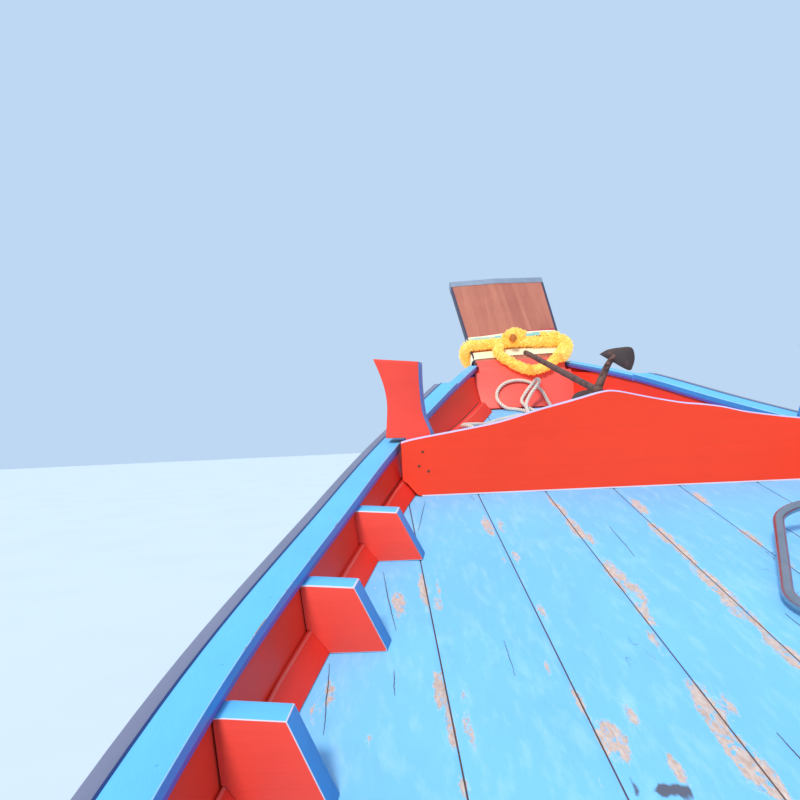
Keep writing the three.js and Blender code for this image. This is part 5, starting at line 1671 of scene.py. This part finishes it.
def make_anchor():
    crown, tip = Vector((-0.004, 3.712, 1.472)), Vector((0.004, 4.765, 1.709))
    shank = [tip + (crown - tip) * t for t in spread(0, 1, 60)]
    rough = [1 + 0.10 * noise.noise(p * 22) for p in shank]
    bar = tube(shank, 0.0115, 14, section=lambda i, a: rough[i] * (1 + 0.05 * math.cos(4 * a)))
    arms = []
    for path in (
        [crown, (0.018, 3.716, 1.516), (0.038, 3.722, 1.552), (0.062, 3.724, 1.582)],
        [crown, (-0.014, 3.714, 1.462), (-0.028, 3.717, 1.454), (-0.042, 3.718, 1.446)],
    ):
        arms.append(tube(catmull(path, 8), 0.012, 12, section=lambda i, a: 1.12 - 0.018 * i))
    iron = [crowned(PALM_UP, 3.7245, 0.012), crowned(PALM_DOWN, 3.7185, 0.012)]
    collar = [(0.008, -0.020), (0.0165, -0.014), (0.0185, 0), (0.0165, 0.014), (0.008, 0.020)]
    arms.append(lathe(collar, crown, crown - tip, 16))
    middle = crown + Vector((0.016, 0.004, -0.016))
    around = spread(0, math.tau, 24)[:-1]
    eye = [middle + Vector((math.cos(t), math.sin(t), 0)) * 0.014 for t in around]
    iron.append(tube(eye, 0.005, 8, joined=True))
    piece("anchor_shank", *together([bar] + arms), "shank", slot="rusty_iron",
          replaces=("anchor",), smooth=45)
    piece("anchor_palms", *together(iron), "rust", slot="rusty_iron", replaces=("anchor",), smooth=45)


# The engine and its long shaft, drawn level and then tilted about the pivot
PIVOT = Vector((0, -5.08, 1.0))
DRIVE = Matrix.Translation(PIVOT) @ Matrix.Rotation(math.radians(25), 4, "X")
SHAFT_LINE, TUBE_END = 0.12, -3.18


def drive_piece(name, parts, material, slot, replaces=(), smooth=35, round_by=0.0):
    """A piece that rides on the engine, drawn with the drive level."""
    verts, faces = together(parts)
    made = piece(name, [DRIVE @ Vector(v) for v in verts], faces, material, "engine", slot, replaces, smooth)
    if round_by:
        softened(made, round_by, 2, 35)
    return made


def bolts(places, axis, radius=0.008):
    """Six-sided heads on washers."""
    height = 0.006
    parts = []
    for at in places:
        parts.append(lathe([(radius * 1.35, -0.001), (radius * 1.35, height * 0.25)], at, axis, 16))
        parts.append(lathe([(radius, 0), (radius, height * 0.85), (radius * 0.8, height)], at, axis, 6))
    return together(parts)


def make_mount():
    refined("engine_mount", "engine_post", 0.003, "iron iron")
    refined("engine_swivel", "engine_yoke", 0.0025, "iron iron")
    heads = [Vector((x, -5.08 + dy, 0.904)) for x in (-0.09, 0.09) for dy in (-0.04, 0.04)]
    piece("yoke_bolts", *bolts(heads, UP), "galvanised", "swivel", "dark_iron", smooth=35)
    refined("engine_cradle", "cradle_frame", 0.002, "iron iron", segments=1)


def make_block():
    side, low, high = 0.150, 0.0263, 0.330
    casting = [block((-side, 0.132, low), (side, 0.640, high))]
    drive_piece("engine_block_casting", casting, "engine", "engine_paint", ("engine_block",), round_by=0.012)
    ribs = []
    for x in (-side, side):
        for y in spread(0.18, 0.60, 7):
            ribs.append(block((x - 0.004, y - 0.006, 0.06), (x + 0.004, y + 0.006, 0.30)))
        ribs.append(block((x - 0.006, 0.15, 0.20), (x + 0.006, 0.62, 0.212)))
        for y in (0.24, 0.36, 0.48):
            plug = [(0.024, -0.002), (0.024, 0.004), (0.019, 0.004), (0.017, 0.002)]
            ribs.append(lathe(plug, (x, y, 0.115), (math.copysign(1, x), 0, 0), 24))
    drive_piece("engine_block_ribs", ribs, "engine", "engine_paint", round_by=0.0012)


def make_manifolds():
    manifold = []
    for y in (0.20, 0.31, 0.42, 0.53):
        out = [(0.146, y, 0.275), (0.172, y, 0.278), (0.190, y + 0.01, 0.285)]
        back = [(-0.146, y, 0.285), (-0.175, y, 0.292), (-0.190, y, 0.300)]
        manifold.append(tube(catmull(out, 6), 0.017, 12))
        manifold.append(tube(catmull(back, 6), 0.015, 12))
    for x, z, radius in ((0.190, 0.288, 0.020), (-0.190, 0.302, 0.018)):
        manifold.append(tube([(x, y, z) for y in spread(0.18, 0.56, 8)], radius, 14))
    drive_piece("engine_manifolds", manifold, "pipe", "engine_paint", smooth=50)
    starter = [(0.0, 0), (0.040, 0), (0.043, 0.01), (0.043, 0.13), (0.030, 0.15), (0.0, 0.15)]
    oil_filter = [(0.0, 0), (0.034, 0), (0.036, 0.01), (0.036, 0.085), (0.028, 0.095), (0.0, 0.095)]
    alternator = [(0.0, 0), (0.052, 0), (0.055, 0.01), (0.055, 0.06), (0.045, 0.08), (0.0, 0.08)]
    extras = [
        lathe(starter, (-0.195, 0.20, 0.10), AHEAD, 24),
        lathe(oil_filter, (-0.150, 0.46, 0.13), (-1, 0, 0), 24),
        lathe(alternator, (0.200, 0.56, 0.14), AHEAD, 28),
    ]
    drive_piece("starter_filter_alternator", extras, "iron", "dark_iron", smooth=40)


def make_pulleys():
    pulleys = []
    for x, z, r in ((0, 0.17, 0.075), (0.200, 0.14, 0.038), (0.0, 0.32, 0.055)):
        wheel = [(0.014, 0), (r, 0), (r - 0.007, 0.008), (r, 0.016), (0.014, 0.016), (0.014, 0.024)]
        pulleys.append(lathe(wheel, (x, 0.652, z), AHEAD, 32))
    for k in range(6):
        about = Matrix.Rotation(k * math.tau / 6, 4, "Y") @ Matrix.Rotation(math.radians(24), 4, "Z")
        blade = Matrix.Translation((0, 0.676, 0.25)) @ about
        pulleys.append(block((-0.024, -0.002, 0.02), (0.024, 0.002, 0.105), blade))
    drive_piece("pulleys_and_fan", pulleys, "cast", "cast_metal", smooth=35)
    route = [(-0.072, 0.17), (-0.054, 0.31), (0.0, 0.377), (0.052, 0.33), (0.210, 0.176), (0.236, 0.13),
             (0.190, 0.103), (0.02, 0.094), (-0.045, 0.112)]
    belt = catmull([(x, 0.660, z) for x, z in route + route[:1]], 8)[:-1]
    drive_piece("fan_belt", [tube(belt, 0.0055, 6, joined=True)], "rubber", "dark_iron", smooth=50)


def make_valve_cover():
    casting = [block((-0.092, 0.165, 0.3303), (0.092, 0.610, 0.400))]
    drive_piece("valve_cover_casting", casting, "engine", "engine_paint", ("valve_cover",), round_by=0.016)
    rim = [block((-0.100, 0.158, 0.3303), (0.100, 0.617, 0.340))]
    for y in spread(0.20, 0.32, 4) + spread(0.50, 0.59, 3):
        rim.append(block((-0.080, y - 0.004, 0.398), (0.080, y + 0.004, 0.4065)))
    drive_piece("valve_cover_rim", rim, "engine", "engine_paint", round_by=0.0015)
    heads = [Vector((x, y, 0.340)) for x in (-0.094, 0.094) for y in spread(0.18, 0.595, 5)]
    drive_piece("valve_cover_bolts", [bolts(heads, UP, 0.006)], "galvanised", "cast_metal")
    cap = lathe([(0.026, 0), (0.028, 0.004), (0.028, 0.010), (0.020, 0.014)], (0.0, 0.585, 0.4045), UP, 20)
    drive_piece("oil_cap", [cap], "rubber", "dark_iron")
    can = [
        (0.0, 0), (0.060, 0), (0.066, 0.008), (0.084, 0.012), (0.088, 0.018), (0.088, 0.030), (0.083, 0.034),
        (0.083, 0.050), (0.088, 0.054), (0.088, 0.066), (0.080, 0.074), (0.030, 0.079), (0.0, 0.079),
    ]
    stud = [(0.004, 0.07), (0.004, 0.086), (0.010, 0.086), (0.010, 0.089)]
    cleaner = [lathe(can, (0, 0.4, 0.4083), UP, 40), lathe(stud, (0, 0.4, 0.4), UP, 12)]
    drive_piece("air_cleaner_can", cleaner, "rubber", "dark_iron", ("air_cleaner",), smooth=40)


def make_radiator():
    tanks = [
        block((-0.170, 0.692, 0.0263), (-0.150, 0.752, 0.360)),
        block((0.150, 0.692, 0.0263), (0.170, 0.752, 0.360)),
        block((-0.165, 0.690, 0.320), (0.165, 0.754, 0.360)),
        block((-0.165, 0.690, 0.0263), (0.165, 0.754, 0.062)),
    ]
    drive_piece("radiator_tanks", tanks, "iron", "dark_iron", ("radiator",), round_by=0.004)
    core = [block((-0.150, 0.700, z - 0.0011), (0.150, 0.744, z + 0.0011)) for z in spread(0.066, 0.316, 40)]
    core += [block((x - 0.002, 0.706, 0.062), (x + 0.002, 0.738, 0.320)) for x in spread(-0.145, 0.145, 14)]
    drive_piece("radiator_core", core, "cast", "cast_metal")
    cap = lathe([(0.020, 0), (0.022, 0.003), (0.022, 0.010), (0.016, 0.013)], (0.10, 0.722, 0.358), UP, 20)
    drive_piece("radiator_cap", [cap], "cast", "cast_metal")


def make_gearbox():
    housing = [
        (0.03, -0.140), (0.052, -0.140), (0.060, -0.132), (0.060, -0.120), (0.056, -0.115), (0.068, -0.060),
        (0.074, -0.052), (0.074, -0.044), (0.090, 0.020), (0.124, 0.058), (0.124, 0.110), (0.128, 0.112),
        (0.128, 0.131),
    ]
    casting = [lathe(housing, (0, 0, SHAFT_LINE), AHEAD, 48)]
    drive_piece("gearbox_casting", casting, "cast", "cast_metal", ("gearbox",), smooth=30)
    around = spread(0, math.tau, 10)[:-1]
    flange = [Vector((0.118 * math.cos(a), 0.111, SHAFT_LINE + 0.118 * math.sin(a))) for a in around]
    drive_piece("gearbox_bolts", [bolts(flange, (0, -1, 0), 0.006)], "galvanised", "cast_metal")


def make_exhaust():
    path = [(0.152, 0.470, 0.270), (0.215, 0.470, 0.272), (0.262, 0.440, 0.310), (0.268, 0.380, 0.400),
            (0.268, 0.330, 0.560), (0.268, 0.322, 0.700)]
    flange = [(0.034, 0), (0.034, 0.009), (0.022, 0.009)]
    stack = [tube(catmull(path, 10), 0.021, 20), lathe(flange, (0.151, 0.47, 0.27), (1, 0, 0), 20)]
    drive_piece("exhaust_stack", stack, "pipe", "rusty_iron", ("exhaust_pipe",), smooth=50)


def make_tiller():
    path = [(0.32, -0.044), (0.56, -0.044), (0.78, -0.044), (0.90, -0.010), (1.06, 0.090), (1.30, 0.160)]
    bar = catmull([(-0.110, y, z) for y, z in path], 10)
    drive_piece("tiller_bar", [tube(bar, 0.017, 20)], "galvanised", "tube_steel",
                ("tiller_handle",), smooth=50)
    grip = [bar[-13] + (bar[-1] - bar[-13]) * t for t in spread(0, 1, 40)]
    ridged = tube(grip, 0.0195, 18, section=lambda i, a: 1 + 0.05 * (i % 4 < 2))
    drive_piece("tiller_grip", [ridged], "rubber", "tube_steel", smooth=50)


def make_shaft():
    sleeve = [(0, y, SHAFT_LINE) for y in spread(-0.1403, TUBE_END + 0.14, 60)]
    bearing = [(0.030, 0), (0.040, 0.004), (0.042, 0.012), (0.042, 0.130), (0.030, 0.139)]
    collar = [(0.030, -0.02), (0.035, -0.017), (0.035, 0.017), (0.030, 0.02)]
    fin = [(0.33, -0.025), (0.20, -0.115), (0.06, -0.195), (0.0, -0.190), (0.015, -0.10), (0.03, -0.025)]
    skeg = [[Vector((x, TUBE_END + y, SHAFT_LINE + z)) for y, z in fin] for x in (-0.005, 0.005)]
    parts = [tube(sleeve, 0.030, 28), lathe(bearing, (0, TUBE_END, SHAFT_LINE), AHEAD, 32), loft(skeg)]
    parts += [lathe(collar, (0, y, SHAFT_LINE), AHEAD, 28) for y in (-0.35, -1.2, -2.1)]
    drive_piece("shaft_sleeve", parts, "steel", "tube_steel", ("shaft_tube",), smooth=40)


def make_engine():
    make_mount()
    make_block()
    make_manifolds()
    make_pulleys()
    make_valve_cover()
    make_radiator()
    make_gearbox()
    make_exhaust()
    make_tiller()
    make_shaft()
    refined("propeller", "propeller_casting", 0.0012, "bronze bronze")


def make_tank():
    low = AFT_DECK_Z + 0.0283
    body = block((-0.560, -4.750, low), (-0.310, -4.400, low + 0.235))
    tank = piece("fuel_tank_moulding", *body, "tank", slot="tank_plastic", replaces=("fuel_tank",))
    softened(tank, 0.022, 5, 30)
    ribs = []
    for y in spread(-4.70, -4.45, 4):
        ribs.append(block((-0.5625, y - 0.010, low + 0.03), (-0.3075, y + 0.010, low + 0.20)))
    grip = [(-4.70, 0.230), (-4.69, 0.262), (-4.64, 0.272), (-4.58, 0.262), (-4.57, 0.230)]
    ribs.append(tube(catmull([(-0.435, y, low + high) for y, high in grip], 6), 0.009, 12))
    moulded = piece("fuel_tank_ribs", *together(ribs), "tank", slot="tank_plastic", smooth=40)
    softened(moulded, 0.0025, 2, 35)
    cap = [(0.028, 0.233), (0.030, 0.245), (0.034, 0.247), (0.034, 0.272), (0.030, 0.280), (0.006, 0.282)]
    piece("fuel_tank_cap", *lathe(cap, (-0.500, -4.460, low), (0, 0, 1), 28), "rubber", slot="tank_plastic",
          smooth=40)


# The stage
def waterline_half(y):
    """Half-breadth of the hull's outside at the floor's height."""
    low, high, power = keel_z(y), top_z(y), line(FULLNESS, y)
    part = min(1, high / (high - low))
    return skin_half(y) * max(0.0, 1 - part ** power) ** (1 / power)


def make_stage():
    f = Finish("studio_floor")
    cloud = f.noise(0.8, EVEN, 4, 0.5)
    f.out(f.mix(cloud, srgb(206, 216, 222), srgb(216, 225, 230)), 0.75)
    far, inset = 60.0, 0.012        # how far the floor reaches, and how far it goes under the hull
    bow = 3.226                     # where the stem leaves the water
    rows = [(-far, 0.0), (STERN, 0.0)]
    rows += [(y, max(0.0, waterline_half(y) - inset)) for y in spread(STERN, bow, 60)]
    rows.append((far, 0.0))
    verts, faces = [], []
    for side in (-1, 1):
        base = len(verts)
        for y, half in rows:
            verts += [(side * half, y, 0), (side * far, y, 0)]
        for i in range(len(rows) - 1):
            a = base + 2 * i
            faces.append((a, a + 1, a + 3, a + 2))
    mesh = bpy.data.meshes.new("floor")
    mesh.from_pydata(verts, [], faces)
    mesh.materials.append(f.material)
    floor = linked("floor", mesh)


def make_light():
    world = bpy.data.worlds.new("studio")
    bpy.context.scene.world = world
    world.use_nodes = True
    background = world.node_tree.nodes["Background"]
    background.inputs["Color"].default_value = srgb(190, 216, 243)
    background.inputs["Strength"].default_value = 1.0
    key = bpy.data.lights.new("key", "SUN")
    key.energy, key.angle, key.color = 2.65, math.radians(12), (1.0, 0.95, 0.87)
    lamp = linked("key", key)
    lamp.rotation_euler = Vector((0.42, 0.95, -1.0)).to_track_quat("-Z", "Y").to_euler()
    bpy.context.scene.view_settings.view_transform = "Standard"


make_camera()
make_rope()
make_hull()
make_foredeck()
make_rails()
make_beam()
make_prow()
make_garland()
make_ribbons()
make_well()
make_canopy()
make_ladder()
make_anchor()
make_engine()
make_tank()
make_stage()
make_light()
